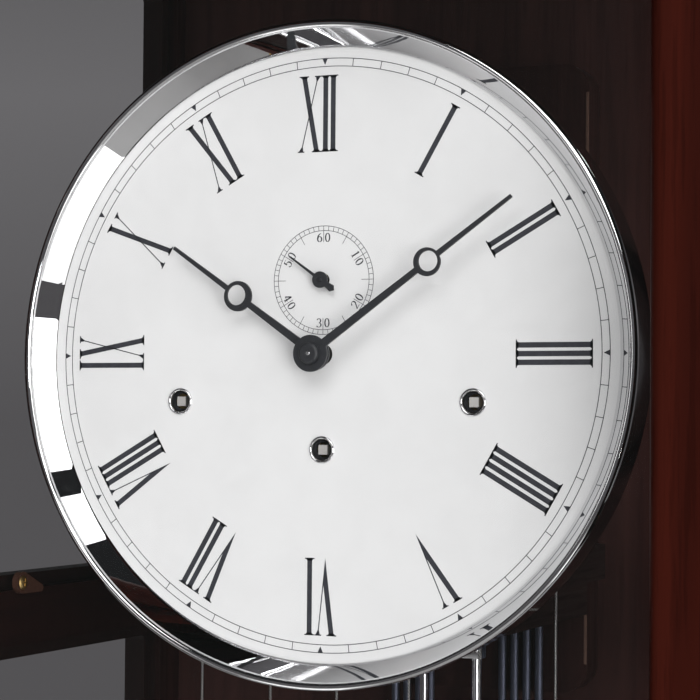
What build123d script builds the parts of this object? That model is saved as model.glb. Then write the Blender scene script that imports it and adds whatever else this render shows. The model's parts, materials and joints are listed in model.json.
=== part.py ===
from build123d import *
import math
import os

os.makedirs("parts", exist_ok=True)

# Case
CASE_HALF_WIDTH = 196.0
OVERHANG = 24.0
MOULDING_STEP = 8.0
COVE_RADIUS = 13.0
EDGE_ROUND = 5.0
EDGE_SEARCH = 0.01
FOOT_HEIGHT = 10.0
FOOT_RADIUS = 15.0
FOOT_STEM_RADIUS = 4.0
FOOT_STEM_LENGTH = 18.0
FOOT_STEM_FIT = 0.1
FOOT_INSET = 22.0
PLINTH_TOP = 150.0
PLINTH_SKIRT_TOP = 116.0
PLINTH_WALL = 44.0
FLOOR_BOARD = 20.0
DIAL_HEADROOM = 230.0
CROWN_HEIGHT = 90.0
CROWN_SLAB = 34.0
CROWN_WALL = 22.0
SIDE_THICKNESS = 18.0
BACK_THICKNESS = 8.0
WALL_SCREW_RADIUS = 2.5
WALL_SCREW_BELOW_TOP = 20.0

# Side windows, measured behind and above the dial centre
WINDOW_FRONT_STILE = 40.0
UPPER_REAR_STILE = 24.0
LOWER_REAR_STILE = 37.0
SIDE_TOP_RAIL = 24.0
SIDE_BOTTOM_RAIL = 80.0
MID_RAIL_TOP = -105.0
MID_RAIL_HEIGHT = 41.0
WINDOW_CORNER = 3.0
REBATE_LAP = 7.0
REBATE_DEPTH = 6.0
PANE_THICKNESS = 3.0
PANE_CLEARANCE = 0.6

# Turn clips that hold the upper side panes
CLIP_HEAD_RADIUS = 5.3
CLIP_TAIL_LENGTH = 17.0
CLIP_TAIL_RADIUS = 1.8
CLIP_THICKNESS = 3.0
CLIP_GAP = 0.4
CLIP_BELOW_RAIL_TOP = 3.4
CLIP_BEHIND_DIAL = 37.0
CLIP_REST_ANGLE = -12.0

# Door
DOOR_THICKNESS = 22.0
DOOR_GAP = 0.5
DOOR_END_GAP = 4.0
DOOR_STILE = 32.0
DOOR_TOP_RAIL = 58.0
DOOR_BOTTOM_RAIL = 74.0
DOOR_BEAD = 6.0
GLASS_THICKNESS = 4.0
GLASS_REBATE_LAP = 8.0
GLASS_REBATE_DEPTH = 9.0
GLASS_CLEARANCE = 0.5
KNOB_ABOVE_DOOR_FOOT = 856.0
KNOB_RADIUS = 7.5
KNOB_NECK_RADIUS = 4.0
KNOB_LENGTH = 21.0
KNOB_ROSE_RADIUS = 9.0
KNOB_ROSE_EDGE = 2.0
KNOB_ROSE_HEIGHT = 4.0
HINGE_END_DISTANCE = 145.0
HINGE_LENGTH = 62.0
HINGE_LEAF_WIDTH = 17.0
HINGE_LEAF_THICKNESS = 1.6
HINGE_KNUCKLE_RADIUS = 3.2
HINGE_PIN_RADIUS = 1.6
HINGE_PIN_OUT = 4.2
HINGE_RUNNING_CLEARANCE = 0.05
HINGE_KNUCKLE_GAP = 0.4
HINGE_LEAF_NOTCH = 4.4

# Dial and bezel
DIAL_HEIGHT = 1600.0
DIAL_SETBACK = 67.0
DIAL_THICKNESS = 1.5
DIAL_RADIUS = 141.5
DIAL_OPENING_RADIUS = 134.5
BEZEL_RADIUS = 143.5
BEZEL_WALL = 1.2
BEZEL_BACK = 16.0
BEZEL_FRONT = 10.9
BEZEL_BEAD_RADIUS = 1.9
BEZEL_BEAD_INSET = 0.1
BEZEL_BEAD_START = 143.0
BEZEL_BEAD_MIDDLE = 270.0
BEZEL_FOOT_LIP = 0.4
FLANGE_HOLLOW = 0.06
HAND_HOLE_RADIUS = 4.6
SECONDS_HOLE_RADIUS = 3.0
FERRULE_FLANGE_RADIUS = 6.0
FERRULE_TUBE_RADIUS = 5.25
FERRULE_BORE_RADIUS = 4.75
FERRULE_LENGTH = 3.0
FERRULE_FLANGE = 0.9
FERRULE_FIT = 0.05

# Arbors of the movement, sideways and upwards from the dial centre
SIDE_ARBOR_SPREAD = 70.0
SIDE_ARBOR_DROP = 20.7
TIME_ARBOR_DROP = 41.7
SECONDS_ARBOR_RISE = 32.5
ANCHOR_ARBOR_RISE = 60.8
THIRD_ARBOR_SIDE = 19.4
MOTION_ARBOR_ANGLE = 225.0
RUNNING_CLEARANCE = 0.05

# Movement plates, measured behind the dial face
PLATE_HALF_WIDTH = 92.0
PLATE_TOP = 84.0
FRONT_PLATE_BACK = 14.5
BACK_PLATE_BACK = 84.5
PLATE_THICKNESS = 2.5
PLATE_CORNER = 12.0
PILLAR_SIDE = 81.0
PILLAR_RISE = 73.0
PILLAR_RADIUS = 4.5
PILLAR_NUT_RADIUS = 5.5
PILLAR_NUT_HEIGHT = 4.0
DIAL_POST_SIDE = 83.0
DIAL_POST_RISE = 52.0
DIAL_POST_RADIUS = 3.5

# Seat board and the bracket that carries it from the back
SEAT_HALF_WIDTH = 100.0
SEAT_TOP = -84.0
SEAT_THICKNESS = 16.0
SEAT_FRONT = 6.0
SEAT_BACK = 94.0
CABLE_SLOT_LENGTH = 26.0
CABLE_SLOT_WIDTH = 18.0
CABLE_SLOT_CORNER = 6.0
PAD_HALF_WIDTH = 63.0
PAD_TOP = 154.0
PAD_BOTTOM = -165.0
PAD_THICKNESS = 18.0
PAD_CORNER = 14.0
ARM_INNER = 54.5
ARM_WIDTH = 8.5
ARM_HEIGHT = 25.0

# Gear trains
GREAT_TEETH = 72
CENTRE_PINION_TEETH = 6
CENTRE_TEETH = 64
THIRD_PINION_TEETH = 8
CENTRE_MODULE = 0.75
THIRD_TEETH = 60
ESCAPE_PINION_TEETH = 8
ESCAPE_TEETH = 30
ESCAPE_RADIUS = 20.0
CANNON_TEETH = 12
MINUTE_TEETH = 36
MOTION_MODULE = 0.75
MINUTE_PINION_TEETH = 10
HOUR_TEETH = 40
WHEEL_ADDENDUM = 1.1
WHEEL_DEDENDUM = 1.45
WHEEL_TOOTH_SHARE = 0.42
WHEEL_TIP_SHARE = 0.16
PINION_ADDENDUM = 0.55
PINION_DEDENDUM = 1.6
PINION_LEAF_SHARE = 0.34
PINION_TIP_SHARE = 0.2
ESCAPE_ROOT_SHARE = 0.84
ESCAPE_TIP_LEAN = 0.42
ESCAPE_BACK_LEAN = 0.36
WHEEL_THICKNESS = 2.4
GREAT_THICKNESS = 3.0
PINION_LENGTH = 7.0
PINION_LEAD = 2.0
MINUTE_PINION_LEAD = 0.2
ARBOR_RADIUS = 1.5
HUB_RADIUS = 4.0
HOUR_HUB_RADIUS = 5.5
RIM_WIDTH = 2.6
SPOKE_WIDTH = 3.2
SPOKES = 5
GREAT_WHEEL_FRONT = 34.0
CENTRE_WHEEL_FRONT = 20.0
THIRD_WHEEL_FRONT = 64.0
ESCAPE_WHEEL_FRONT = 75.5
MINUTE_WHEEL_FRONT = 8.6
HOUR_WHEEL_FRONT = 4.6
CANNON_FRONT = 8.0
CANNON_LENGTH = 3.4
CANNON_PIPE_RADIUS = 2.6
HOUR_PIPE_RADIUS = 4.0
MOTION_STUD_RADIUS = 1.5
MOTION_STUD_OUT = 1.0

# Barrels and winding squares
DRUM_RADIUS = 17.0
DRUM_FRONT = 44.0
DRUM_LENGTH = 30.0
DRUM_FLANGE_RADIUS = 21.0
DRUM_FLANGE = 2.0
BARREL_ARBOR_RADIUS = 3.0
WINDING_SQUARE = 4.2
WINDING_SQUARE_LENGTH = 8.0
WINDING_SQUARE_BEHIND = 1.0
RATCHET_TEETH = 18
RATCHET_RADIUS = 15.0
RATCHET_DEPTH = 2.2
RATCHET_THICKNESS = 2.4
RATCHET_GAP = 1.5
RATCHET_UNDERCUT = 0.05

# Weights, pulleys and cables
CABLE_RADIUS = 0.6
CABLE_END_GAP = 0.3
CABLE_WRAP_RADIUS = 18.0
CABLE_BEHIND = 59.0
WEIGHT_RADIUS = 29.0
WEIGHT_HEIGHT = 230.0
WEIGHT_CAP_HEIGHT = 6.0
WEIGHT_CAP_RADIUS = 30.0
WEIGHT_FLOOR_GAP = 90.0
PULLEY_RADIUS = 20.5
PULLEY_GROOVE_RADIUS = 17.0
PULLEY_GROOVE_WIDTH = 1.8
PULLEY_WIDTH = 6.0
PULLEY_AXLE_RADIUS = 2.5
STIRRUP_THICKNESS = 2.0
STIRRUP_WIDTH = 11.0
STIRRUP_GAP = 0.6
STIRRUP_STEM = 12.0
STIRRUP_BRIDGE = 4.0
STIRRUP_UNDER = 2.0
STIRRUP_ABOVE = 8.0
STIRRUP_STEM_RADIUS = 3.0

# Hands
HOUR_HAND_ANGLE = 304.6
MINUTE_HAND_ANGLE = 54.5
SECONDS_HAND_ANGLE = 305.5
HAND_THICKNESS = 1.2
HOUR_HAND_LENGTH = 84.0
HOUR_HAND_FRONT = 9.7
HOUR_RING_AT = 45.0
HOUR_RING_RADIUS = 6.7
HOUR_RING_HOLE = 4.5
HOUR_RING_OFFSET = 0.9
HOUR_BOSS_RADIUS = 7.2
MINUTE_HAND_LENGTH = 112.0
MINUTE_HAND_FRONT = 13.7
MINUTE_RING_AT = 66.0
MINUTE_RING_RADIUS = 6.1
MINUTE_RING_HOLE = 4.4
MINUTE_RING_OFFSET = 0.6
MINUTE_BOSS_RADIUS = 8.0
HAND_ROOT_WIDTH = 3.8
HAND_FIT = 0.02
HAND_NECK_WIDTH = 2.5
HAND_TIP_WIDTH = 1.5
NUT_RADIUS = 4.75
NUT_HEIGHT = 2.6
NUT_SIDE_HEIGHT = 1.8
NUT_TOP_RADIUS = 3.8
SECONDS_HAND_FRONT = 4.0
SECONDS_HAND_THICKNESS = 0.8
SECONDS_HAND_LENGTH = 17.8
SECONDS_TAIL_LENGTH = 8.2
SECONDS_TAIL_SHOULDER = 6.8
SECONDS_TAIL_WIDTH = 3.2
SECONDS_TIP_WIDTH = 0.6
SECONDS_HUB_RADIUS = 3.6
SECONDS_HAND_WIDTH = 1.4
SECONDS_PIPE_RADIUS = 1.2
SECONDS_PIPE_ROOT = 2.0

# Escapement and pendulum
ANCHOR_SPAN = 118.0
ANCHOR_CLEARANCE = 1.8
ANCHOR_ARM_WIDTH = 4.0
ANCHOR_REACH = 6.0
PALLET_TIP_WIDTH = 1.0
CRUTCH_BEHIND = 95.0
CRUTCH_DROP = 96.0
CRUTCH_WIDTH = 6.0
CRUTCH_PIN_RADIUS = 1.4
CRUTCH_PIN_OUT = 3.2
CRUTCH_BOSS_RADIUS = 4.2
PENDULUM_BEHIND = 160.0
PENDULUM_ROOM = 27.0
LEADER_WIDTH = 10.0
LEADER_THICKNESS = 1.6
LEADER_FORK_GAP = 1.0
LEADER_TOP_DROP = 14.0
SPRING_THICKNESS = 0.4
SPRING_WIDTH = 8.0
YOKE_TOP = -135.0
YOKE_HEIGHT = 12.0
YOKE_THICKNESS = 7.0
YOKE_MARGIN = 1.5
ROD_SPREAD = 14.0
PENDULUM_ROD_RADIUS = 2.4
LOWER_YOKE_TOP = -812.0
BOB_CENTRE = -925.0
BOB_RADIUS = 84.0
BOB_THICKNESS = 30.0
BOB_EDGE = 6.0
BOB_STEM_RADIUS = 3.0
BOB_FIT = 0.05
RATING_NUT_RADIUS = 11.0
RATING_NUT_HEIGHT = 9.0
RATING_NUT_GAP = 0.5
RATING_NUT_CHAMFER = 1.2
SUSPENSION_WIDTH = 34.0
SUSPENSION_HEIGHT = 16.0
SUSPENSION_SLOT = 2.0
SUSPENSION_ABOVE_PIVOT = 3.0
SUSPENSION_REACH = 6.0
SPRING_ABOVE_PIVOT = 7.0

# Chime
CHIME_ROD_RADIUS = 2.0
CHIME_ROD_FIRST = 19.5
CHIME_ROD_PITCH = 6.5
CHIME_RODS_A_SIDE = 4
CHIME_ROD_LONGEST = 470.0
CHIME_ROD_STEP = 22.0
CHIME_BLOCK_TOP = -72.0
CHIME_BLOCK_HEIGHT = 28.0
CHIME_BLOCK_MARGIN = 5.0
CHIME_BLOCK_THICKNESS = 8.0
HAMMER_PIVOT_Z = -52.0
HAMMER_PIVOT_RADIUS = 2.0
HAMMER_BOSS_RADIUS = 4.2
HAMMER_WIDTH = 4.4
HAMMER_ARM_WIDTH = 2.4
HAMMER_HEAD_LENGTH = 10.0
HAMMER_HEAD_HEIGHT = 12.0
HAMMER_HEAD_Z = -116.0
HAMMER_ROD_GAP = 1.0
HAMMER_PIVOT_AHEAD = 9.0
HAMMER_ARM_LEAN = 4.0
RAIL_CHEEK_HEIGHT = 16.0
RAIL_CHEEK_REACH = 13.0
RAIL_CHEEK_THICKNESS = 4.0

# Places worked out from the sizes above
INNER_HALF_WIDTH = CASE_HALF_WIDTH - SIDE_THICKNESS
TRUNK_DEPTH = DIAL_SETBACK + PENDULUM_BEHIND + PENDULUM_ROOM + PAD_THICKNESS + BACK_THICKNESS
BACK_Y = (TRUNK_DEPTH + OVERHANG) / 2
DOOR_FRONT_Y = BACK_Y - TRUNK_DEPTH
DOOR_BACK_Y = DOOR_FRONT_Y + DOOR_THICKNESS
CASE_FRONT_Y = DOOR_BACK_Y + DOOR_GAP
DIAL_Y = DOOR_FRONT_Y + DIAL_SETBACK
BACK_INNER_Y = BACK_Y - BACK_THICKNESS
TRUNK_TOP = DIAL_HEIGHT + DIAL_HEADROOM
CROWN_TOP = TRUNK_TOP + CROWN_HEIGHT
SEAT_BOTTOM = SEAT_TOP - SEAT_THICKNESS
PAD_FRONT_Y = BACK_INNER_Y - PAD_THICKNESS
CENTRE = (0.0, 0.0)
TIME_ARBOR = (0.0, -TIME_ARBOR_DROP)
STRIKE_ARBOR = (-SIDE_ARBOR_SPREAD, -SIDE_ARBOR_DROP)
CHIME_ARBOR = (SIDE_ARBOR_SPREAD, -SIDE_ARBOR_DROP)
ESCAPE_ARBOR = (0.0, SECONDS_ARBOR_RISE)
ANCHOR_ARBOR = (0.0, ANCHOR_ARBOR_RISE)
CENTRE_DISTANCE = CENTRE_MODULE * (CENTRE_TEETH + THIRD_PINION_TEETH) / 2
THIRD_ARBOR = (THIRD_ARBOR_SIDE, math.sqrt(CENTRE_DISTANCE**2 - THIRD_ARBOR_SIDE**2))
THIRD_DISTANCE = math.dist(THIRD_ARBOR, ESCAPE_ARBOR)
THIRD_MODULE = 2 * THIRD_DISTANCE / (THIRD_TEETH + ESCAPE_PINION_TEETH)
GREAT_MODULE = 2 * TIME_ARBOR_DROP / (GREAT_TEETH + CENTRE_PINION_TEETH)
MOTION_DISTANCE = MOTION_MODULE * (CANNON_TEETH + MINUTE_TEETH) / 2
HOUR_MODULE = 2 * MOTION_DISTANCE / (HOUR_TEETH + MINUTE_PINION_TEETH)
MOTION_ARBOR = (
    MOTION_DISTANCE * math.cos(math.radians(MOTION_ARBOR_ANGLE)),
    MOTION_DISTANCE * math.sin(math.radians(MOTION_ARBOR_ANGLE)),
)
TRAINS = {"strike": STRIKE_ARBOR, "time": TIME_ARBOR, "chime": CHIME_ARBOR}
WEIGHT_FOOT = PLINTH_TOP + WEIGHT_FLOOR_GAP
WEIGHT_TOP = WEIGHT_FOOT + WEIGHT_HEIGHT
BRIDGE_Z = WEIGHT_TOP + STIRRUP_STEM
PULLEY_Z = BRIDGE_Z + STIRRUP_BRIDGE + STIRRUP_UNDER + PULLEY_RADIUS
CABLE_Y = DIAL_Y + CABLE_BEHIND
PENDULUM_Y = DIAL_Y + PENDULUM_BEHIND
CHIME_ROD_Y = PAD_FRONT_Y - CHIME_BLOCK_THICKNESS / 2
HINGE_X = CASE_HALF_WIDTH + HINGE_PIN_OUT
HINGE_Y = (DOOR_BACK_Y + CASE_FRONT_Y) / 2


def write(piece, name):
    """Label a finished piece and write it to its own file."""
    piece.part.label = name
    export_step(piece.part, f"parts/{name}.step")


def facing(behind, arbor=CENTRE, turn=0.0):
    """Plane parallel to the dial, facing forward, turned clockwise about an arbor."""
    angle = math.radians(turn)
    origin = (arbor[0], DIAL_Y + behind, DIAL_HEIGHT + arbor[1])
    return Plane(origin=origin, x_dir=(math.cos(angle), 0, -math.sin(angle)), z_dir=(0, -1, 0))


def along_arbor(arbor=CENTRE):
    """Plane through an arbor: x is the radius and y is the distance behind the dial."""
    return Plane(origin=(arbor[0], DIAL_Y, DIAL_HEIGHT + arbor[1]))


def arbor_axis(arbor=CENTRE):
    """Axis of an arbor, pointing to the back."""
    return Axis((arbor[0], DIAL_Y, DIAL_HEIGHT + arbor[1]), (0, 1, 0))


def upright(x, y):
    """Plane through a vertical axis: x is the radius and y is the height."""
    return Plane(origin=(x, y, 0), x_dir=(1, 0, 0), z_dir=(0, -1, 0))


def upright_axis(x, y):
    """Vertical axis at a place in the plan."""
    return Axis((x, y, 0), (0, 0, 1))


def outline(*points):
    """Fill a straight-sided outline in the sketch at work."""
    Polygon(*points, align=None)


def span(x0, x1, y0, y1):
    """Fill the rectangle between two corners in the sketch at work."""
    outline((x0, y0), (x1, y0), (x1, y1), (x0, y1))


def block(x0, x1, y0, y1, z0, z1, mode=Mode.ADD):
    """Add or cut the box between two corners in the part at work."""
    with Locations(((x0 + x1) / 2, (y0 + y1) / 2, (z0 + z1) / 2)):
        Box(abs(x1 - x0), abs(y1 - y0), abs(z1 - z0), mode=mode)


def slab(overhang, z0, z1):
    """Add a moulding layer that stands out of the trunk at the front and sides."""
    reach = CASE_HALF_WIDTH + overhang
    block(-reach, reach, DOOR_FRONT_Y - overhang, BACK_Y, z0, z1)


def moulding_edges(piece, overhang, z):
    """Edges at one height on the front and side faces of a moulding layer."""
    side = CASE_HALF_WIDTH + overhang
    front = DOOR_FRONT_Y - overhang
    level = piece.edges().filter_by_position(Axis.Z, z - EDGE_SEARCH, z + EDGE_SEARCH)
    on_side = [e for e in level if abs(abs(e.center().X) - side) < EDGE_SEARCH]
    on_front = [e for e in level if abs(e.center().Y - front) < EDGE_SEARCH]
    return on_side + on_front


def teeth(count, module, addendum, dedendum, width, tip, phase=0.0):
    """Fill a gear blank with straight-flanked teeth, one of them centred at the phase angle."""
    pitch = 2 * math.pi / count
    radius = module * count / 2
    root = radius - dedendum * module
    points = []
    for index in range(count):
        middle = math.radians(phase) + index * pitch
        for reach, share in ((root, -width), (radius, -width), (radius + addendum * module, -tip)):
            angle = middle + share * pitch / 2
            points.append((reach * math.cos(angle), reach * math.sin(angle)))
        for reach, share in ((radius + addendum * module, tip), (radius, width), (root, width)):
            angle = middle + share * pitch / 2
            points.append((reach * math.cos(angle), reach * math.sin(angle)))
    outline(*points)


def wheel_teeth(count, module, phase):
    """Teeth of a driving wheel, with tall tapering tips."""
    teeth(count, module, WHEEL_ADDENDUM, WHEEL_DEDENDUM, WHEEL_TOOTH_SHARE, WHEEL_TIP_SHARE, phase)


def pinion_teeth(count, module, phase):
    """Leaves of a driven pinion, slim with short tips."""
    teeth(count, module, PINION_ADDENDUM, PINION_DEDENDUM, PINION_LEAF_SHARE, PINION_TIP_SHARE, phase)


def crossing(rim_radius, hub_radius):
    """Sketch of the windows between the spokes of a wheel."""
    Circle(rim_radius)
    Circle(hub_radius, mode=Mode.SUBTRACT)
    with PolarLocations(0, SPOKES):
        with Locations((rim_radius / 2, 0)):
            Rectangle(rim_radius + HUB_RADIUS, SPOKE_WIDTH, mode=Mode.SUBTRACT)


def turned(arbor, *points):
    """Add a solid turned about an arbor from a radius and depth outline."""
    with BuildSketch(along_arbor(arbor)) as profile:
        outline(*points)
    revolve(profile.sketch, axis=arbor_axis(arbor))


def rod_along(arbor, radius, start, end):
    """Add a round rod on an arbor between two distances behind the dial."""
    turned(arbor, (0, start), (radius, start), (radius, end), (0, end))


def direction(start, end):
    """Angle in degrees from one arbor to another."""
    return math.degrees(math.atan2(end[1] - start[1], end[0] - start[0]))


# Plinth: a skirted box under the trunk, with the case floor as its top
with BuildPart() as plinth:
    slab(OVERHANG, FOOT_HEIGHT, PLINTH_SKIRT_TOP)
    slab(MOULDING_STEP, PLINTH_SKIRT_TOP, PLINTH_TOP)
    fillet(moulding_edges(plinth, MOULDING_STEP, PLINTH_SKIRT_TOP), COVE_RADIUS)
    plinth_inner = CASE_HALF_WIDTH + OVERHANG - PLINTH_WALL
    block(-plinth_inner, plinth_inner, DOOR_FRONT_Y - OVERHANG + PLINTH_WALL, BACK_Y - PLINTH_WALL,
          FOOT_HEIGHT, PLINTH_TOP - FLOOR_BOARD, mode=Mode.SUBTRACT)
    foot_side = CASE_HALF_WIDTH + OVERHANG - FOOT_INSET
    foot_depth = BACK_Y - FOOT_INSET
    with BuildSketch(Plane.XY.offset(FOOT_HEIGHT)):
        with GridLocations(2 * foot_side, 2 * foot_depth, 2, 2):
            Circle(FOOT_STEM_RADIUS + FOOT_STEM_FIT)
    extrude(amount=FOOT_STEM_LENGTH, mode=Mode.SUBTRACT)
write(plinth, "plinth")

# Levelling feet: a round pad on a stem at each corner
with BuildPart() as levelling_feet:
    with BuildSketch(Plane.XY):
        with GridLocations(2 * foot_side, 2 * foot_depth, 2, 2):
            Circle(FOOT_RADIUS)
    extrude(amount=FOOT_HEIGHT)
    with BuildSketch(Plane.XY.offset(FOOT_HEIGHT)):
        with GridLocations(2 * foot_side, 2 * foot_depth, 2, 2):
            Circle(FOOT_STEM_RADIUS)
    extrude(amount=FOOT_STEM_LENGTH)
write(levelling_feet, "levelling_feet")

# Crown: stepped cornice with a cove, hollow below its top board
with BuildPart() as crown:
    slab(MOULDING_STEP, TRUNK_TOP, CROWN_TOP - CROWN_SLAB)
    slab(OVERHANG, CROWN_TOP - CROWN_SLAB, CROWN_TOP)
    fillet(moulding_edges(crown, MOULDING_STEP, CROWN_TOP - CROWN_SLAB), COVE_RADIUS)
    fillet(moulding_edges(crown, OVERHANG, CROWN_TOP), EDGE_ROUND)
    block(-INNER_HALF_WIDTH, INNER_HALF_WIDTH, CASE_FRONT_Y, BACK_INNER_Y,
          TRUNK_TOP, CROWN_TOP - CROWN_WALL, mode=Mode.SUBTRACT)
write(crown, "crown")


def side_plane(x, inward):
    """Upright plane on a side of the case, with y as the height, facing sideways."""
    return Plane(origin=(x, 0, 0), x_dir=(0, inward, 0), z_dir=(inward, 0, 0))


def window(front, rear, low, high, inward, grow=0.0):
    """Fill a round-cornered window, grown on every side, in the sketch at work."""
    with Locations((inward * (front + rear) / 2, (low + high) / 2)):
        RectangleRounded(rear - front + 2 * grow, high - low + 2 * grow, WINDOW_CORNER)


WINDOW_FRONT = CASE_FRONT_Y + WINDOW_FRONT_STILE
MID_RAIL_Z = DIAL_HEIGHT + MID_RAIL_TOP
WINDOWS = (
    (WINDOW_FRONT, BACK_Y - UPPER_REAR_STILE, MID_RAIL_Z, TRUNK_TOP - SIDE_TOP_RAIL),
    (WINDOW_FRONT, BACK_Y - LOWER_REAR_STILE, PLINTH_TOP + SIDE_BOTTOM_RAIL, MID_RAIL_Z - MID_RAIL_HEIGHT),
)

# Side frames: stiles and rails round an upper and a lower window, rebated on the inside
for name, inward in (("left_side_frame", 1), ("right_side_frame", -1)):
    with BuildPart() as side_frame:
        block(-inward * CASE_HALF_WIDTH, -inward * INNER_HALF_WIDTH, CASE_FRONT_Y, BACK_Y,
              PLINTH_TOP, TRUNK_TOP)
        with BuildSketch(side_plane(-inward * CASE_HALF_WIDTH, inward)):
            for opening in WINDOWS:
                window(*opening, inward)
        extrude(amount=SIDE_THICKNESS, mode=Mode.SUBTRACT)
        with BuildSketch(side_plane(-inward * INNER_HALF_WIDTH, inward)):
            for opening in WINDOWS:
                window(*opening, inward, REBATE_LAP)
        extrude(amount=-REBATE_DEPTH, mode=Mode.SUBTRACT)
    write(side_frame, name)

# Side panes: clear glass seated in the rebates of both side frames
with BuildPart() as side_panes:
    for inward in (1, -1):
        seat_x = -inward * (INNER_HALF_WIDTH + REBATE_DEPTH)
        with BuildSketch(side_plane(seat_x, inward)):
            for opening in WINDOWS:
                window(*opening, inward, REBATE_LAP - PANE_CLEARANCE)
        extrude(amount=PANE_THICKNESS)
write(side_panes, "side_panes")

# Turn clips: a round head with a pointed tail that swings over the edge of a side pane
for name, inward in (("left_turn_clip", 1), ("right_turn_clip", -1)):
    clip_plane = side_plane(-inward * (INNER_HALF_WIDTH - CLIP_GAP), inward)
    clip_middle = (inward * (DIAL_Y + CLIP_BEHIND_DIAL), MID_RAIL_Z - CLIP_BELOW_RAIL_TOP)
    tail_angle = math.radians(CLIP_REST_ANGLE)
    tail_x = clip_middle[0] + inward * CLIP_TAIL_LENGTH * math.cos(tail_angle)
    tail_y = clip_middle[1] + CLIP_TAIL_LENGTH * math.sin(tail_angle)
    with BuildPart() as turn_clip:
        with BuildSketch(clip_plane):
            with Locations(clip_middle):
                Circle(CLIP_HEAD_RADIUS)
            with Locations((tail_x, tail_y)):
                Circle(CLIP_TAIL_RADIUS)
            make_hull()
        extrude(amount=CLIP_THICKNESS)
    write(turn_clip, name)

# Back panel, with a hole for the screw that ties the case to a wall
with BuildPart() as back_panel:
    block(-INNER_HALF_WIDTH, INNER_HALF_WIDTH, BACK_INNER_Y, BACK_Y, PLINTH_TOP, TRUNK_TOP)
    with BuildSketch(Plane.XZ.offset(-BACK_Y)):
        with Locations((0, TRUNK_TOP - WALL_SCREW_BELOW_TOP)):
            Circle(WALL_SCREW_RADIUS)
    extrude(amount=BACK_THICKNESS, mode=Mode.SUBTRACT)
write(back_panel, "back_panel")

# Back pad: the round-cornered board that carries the movement and the pendulum
with BuildPart() as back_pad:
    with BuildSketch(Plane.XZ.offset(-BACK_INNER_Y)):
        with Locations((0, DIAL_HEIGHT + (PAD_TOP + PAD_BOTTOM) / 2)):
            RectangleRounded(2 * PAD_HALF_WIDTH, PAD_TOP - PAD_BOTTOM, PAD_CORNER)
    extrude(amount=PAD_THICKNESS)
write(back_pad, "back_pad")

# Bracket arms from the back pad to the seat board
with BuildPart() as bracket_arms:
    for side in (-1, 1):
        block(side * ARM_INNER, side * (ARM_INNER + ARM_WIDTH), DIAL_Y + SEAT_FRONT, PAD_FRONT_Y,
              DIAL_HEIGHT + SEAT_BOTTOM - ARM_HEIGHT, DIAL_HEIGHT + SEAT_BOTTOM)
write(bracket_arms, "bracket_arms")

# Seat board under the movement, slotted for the three cables
with BuildPart() as seat_board:
    block(-SEAT_HALF_WIDTH, SEAT_HALF_WIDTH, DIAL_Y + SEAT_FRONT, DIAL_Y + SEAT_BACK,
          DIAL_HEIGHT + SEAT_BOTTOM, DIAL_HEIGHT + SEAT_TOP)
    with BuildSketch(Plane.XY.offset(DIAL_HEIGHT + SEAT_TOP)):
        for arbor in TRAINS.values():
            with Locations((arbor[0] - CABLE_WRAP_RADIUS / 2, CABLE_Y)):
                RectangleRounded(CABLE_SLOT_LENGTH, CABLE_SLOT_WIDTH, CABLE_SLOT_CORNER)
    extrude(amount=-SEAT_THICKNESS, mode=Mode.SUBTRACT)
write(seat_board, "seat_board")

# Door frame with a beaded edge round the glass and a rebate behind it
DOOR_LOW = PLINTH_TOP + DOOR_END_GAP
DOOR_HIGH = TRUNK_TOP - DOOR_END_GAP
OPENING_HALF = CASE_HALF_WIDTH - DOOR_STILE
OPENING_LOW = DOOR_LOW + DOOR_BOTTOM_RAIL
OPENING_HIGH = DOOR_HIGH - DOOR_TOP_RAIL
with BuildPart() as door_frame:
    with BuildSketch(Plane.XZ.offset(-DOOR_BACK_Y)):
        span(-CASE_HALF_WIDTH, CASE_HALF_WIDTH, DOOR_LOW, DOOR_HIGH)
        with Locations((0, (OPENING_LOW + OPENING_HIGH) / 2)):
            Rectangle(2 * OPENING_HALF, OPENING_HIGH - OPENING_LOW, mode=Mode.SUBTRACT)
    extrude(amount=DOOR_THICKNESS)
    front_face = door_frame.faces().sort_by(Axis.Y)[0]
    fillet(front_face.inner_wires()[0].edges(), DOOR_BEAD)
    block(-OPENING_HALF - GLASS_REBATE_LAP, OPENING_HALF + GLASS_REBATE_LAP,
          DOOR_BACK_Y - GLASS_REBATE_DEPTH, DOOR_BACK_Y,
          OPENING_LOW - GLASS_REBATE_LAP, OPENING_HIGH + GLASS_REBATE_LAP, mode=Mode.SUBTRACT)
write(door_frame, "door_frame")

# Door glass, seated in the rebate
with BuildPart() as door_glass:
    glass_lap = GLASS_REBATE_LAP - GLASS_CLEARANCE
    glass_front = DOOR_BACK_Y - GLASS_REBATE_DEPTH
    block(-OPENING_HALF - glass_lap, OPENING_HALF + glass_lap, glass_front, glass_front + GLASS_THICKNESS,
          OPENING_LOW - glass_lap, OPENING_HIGH + glass_lap)
write(door_glass, "door_glass")

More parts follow.
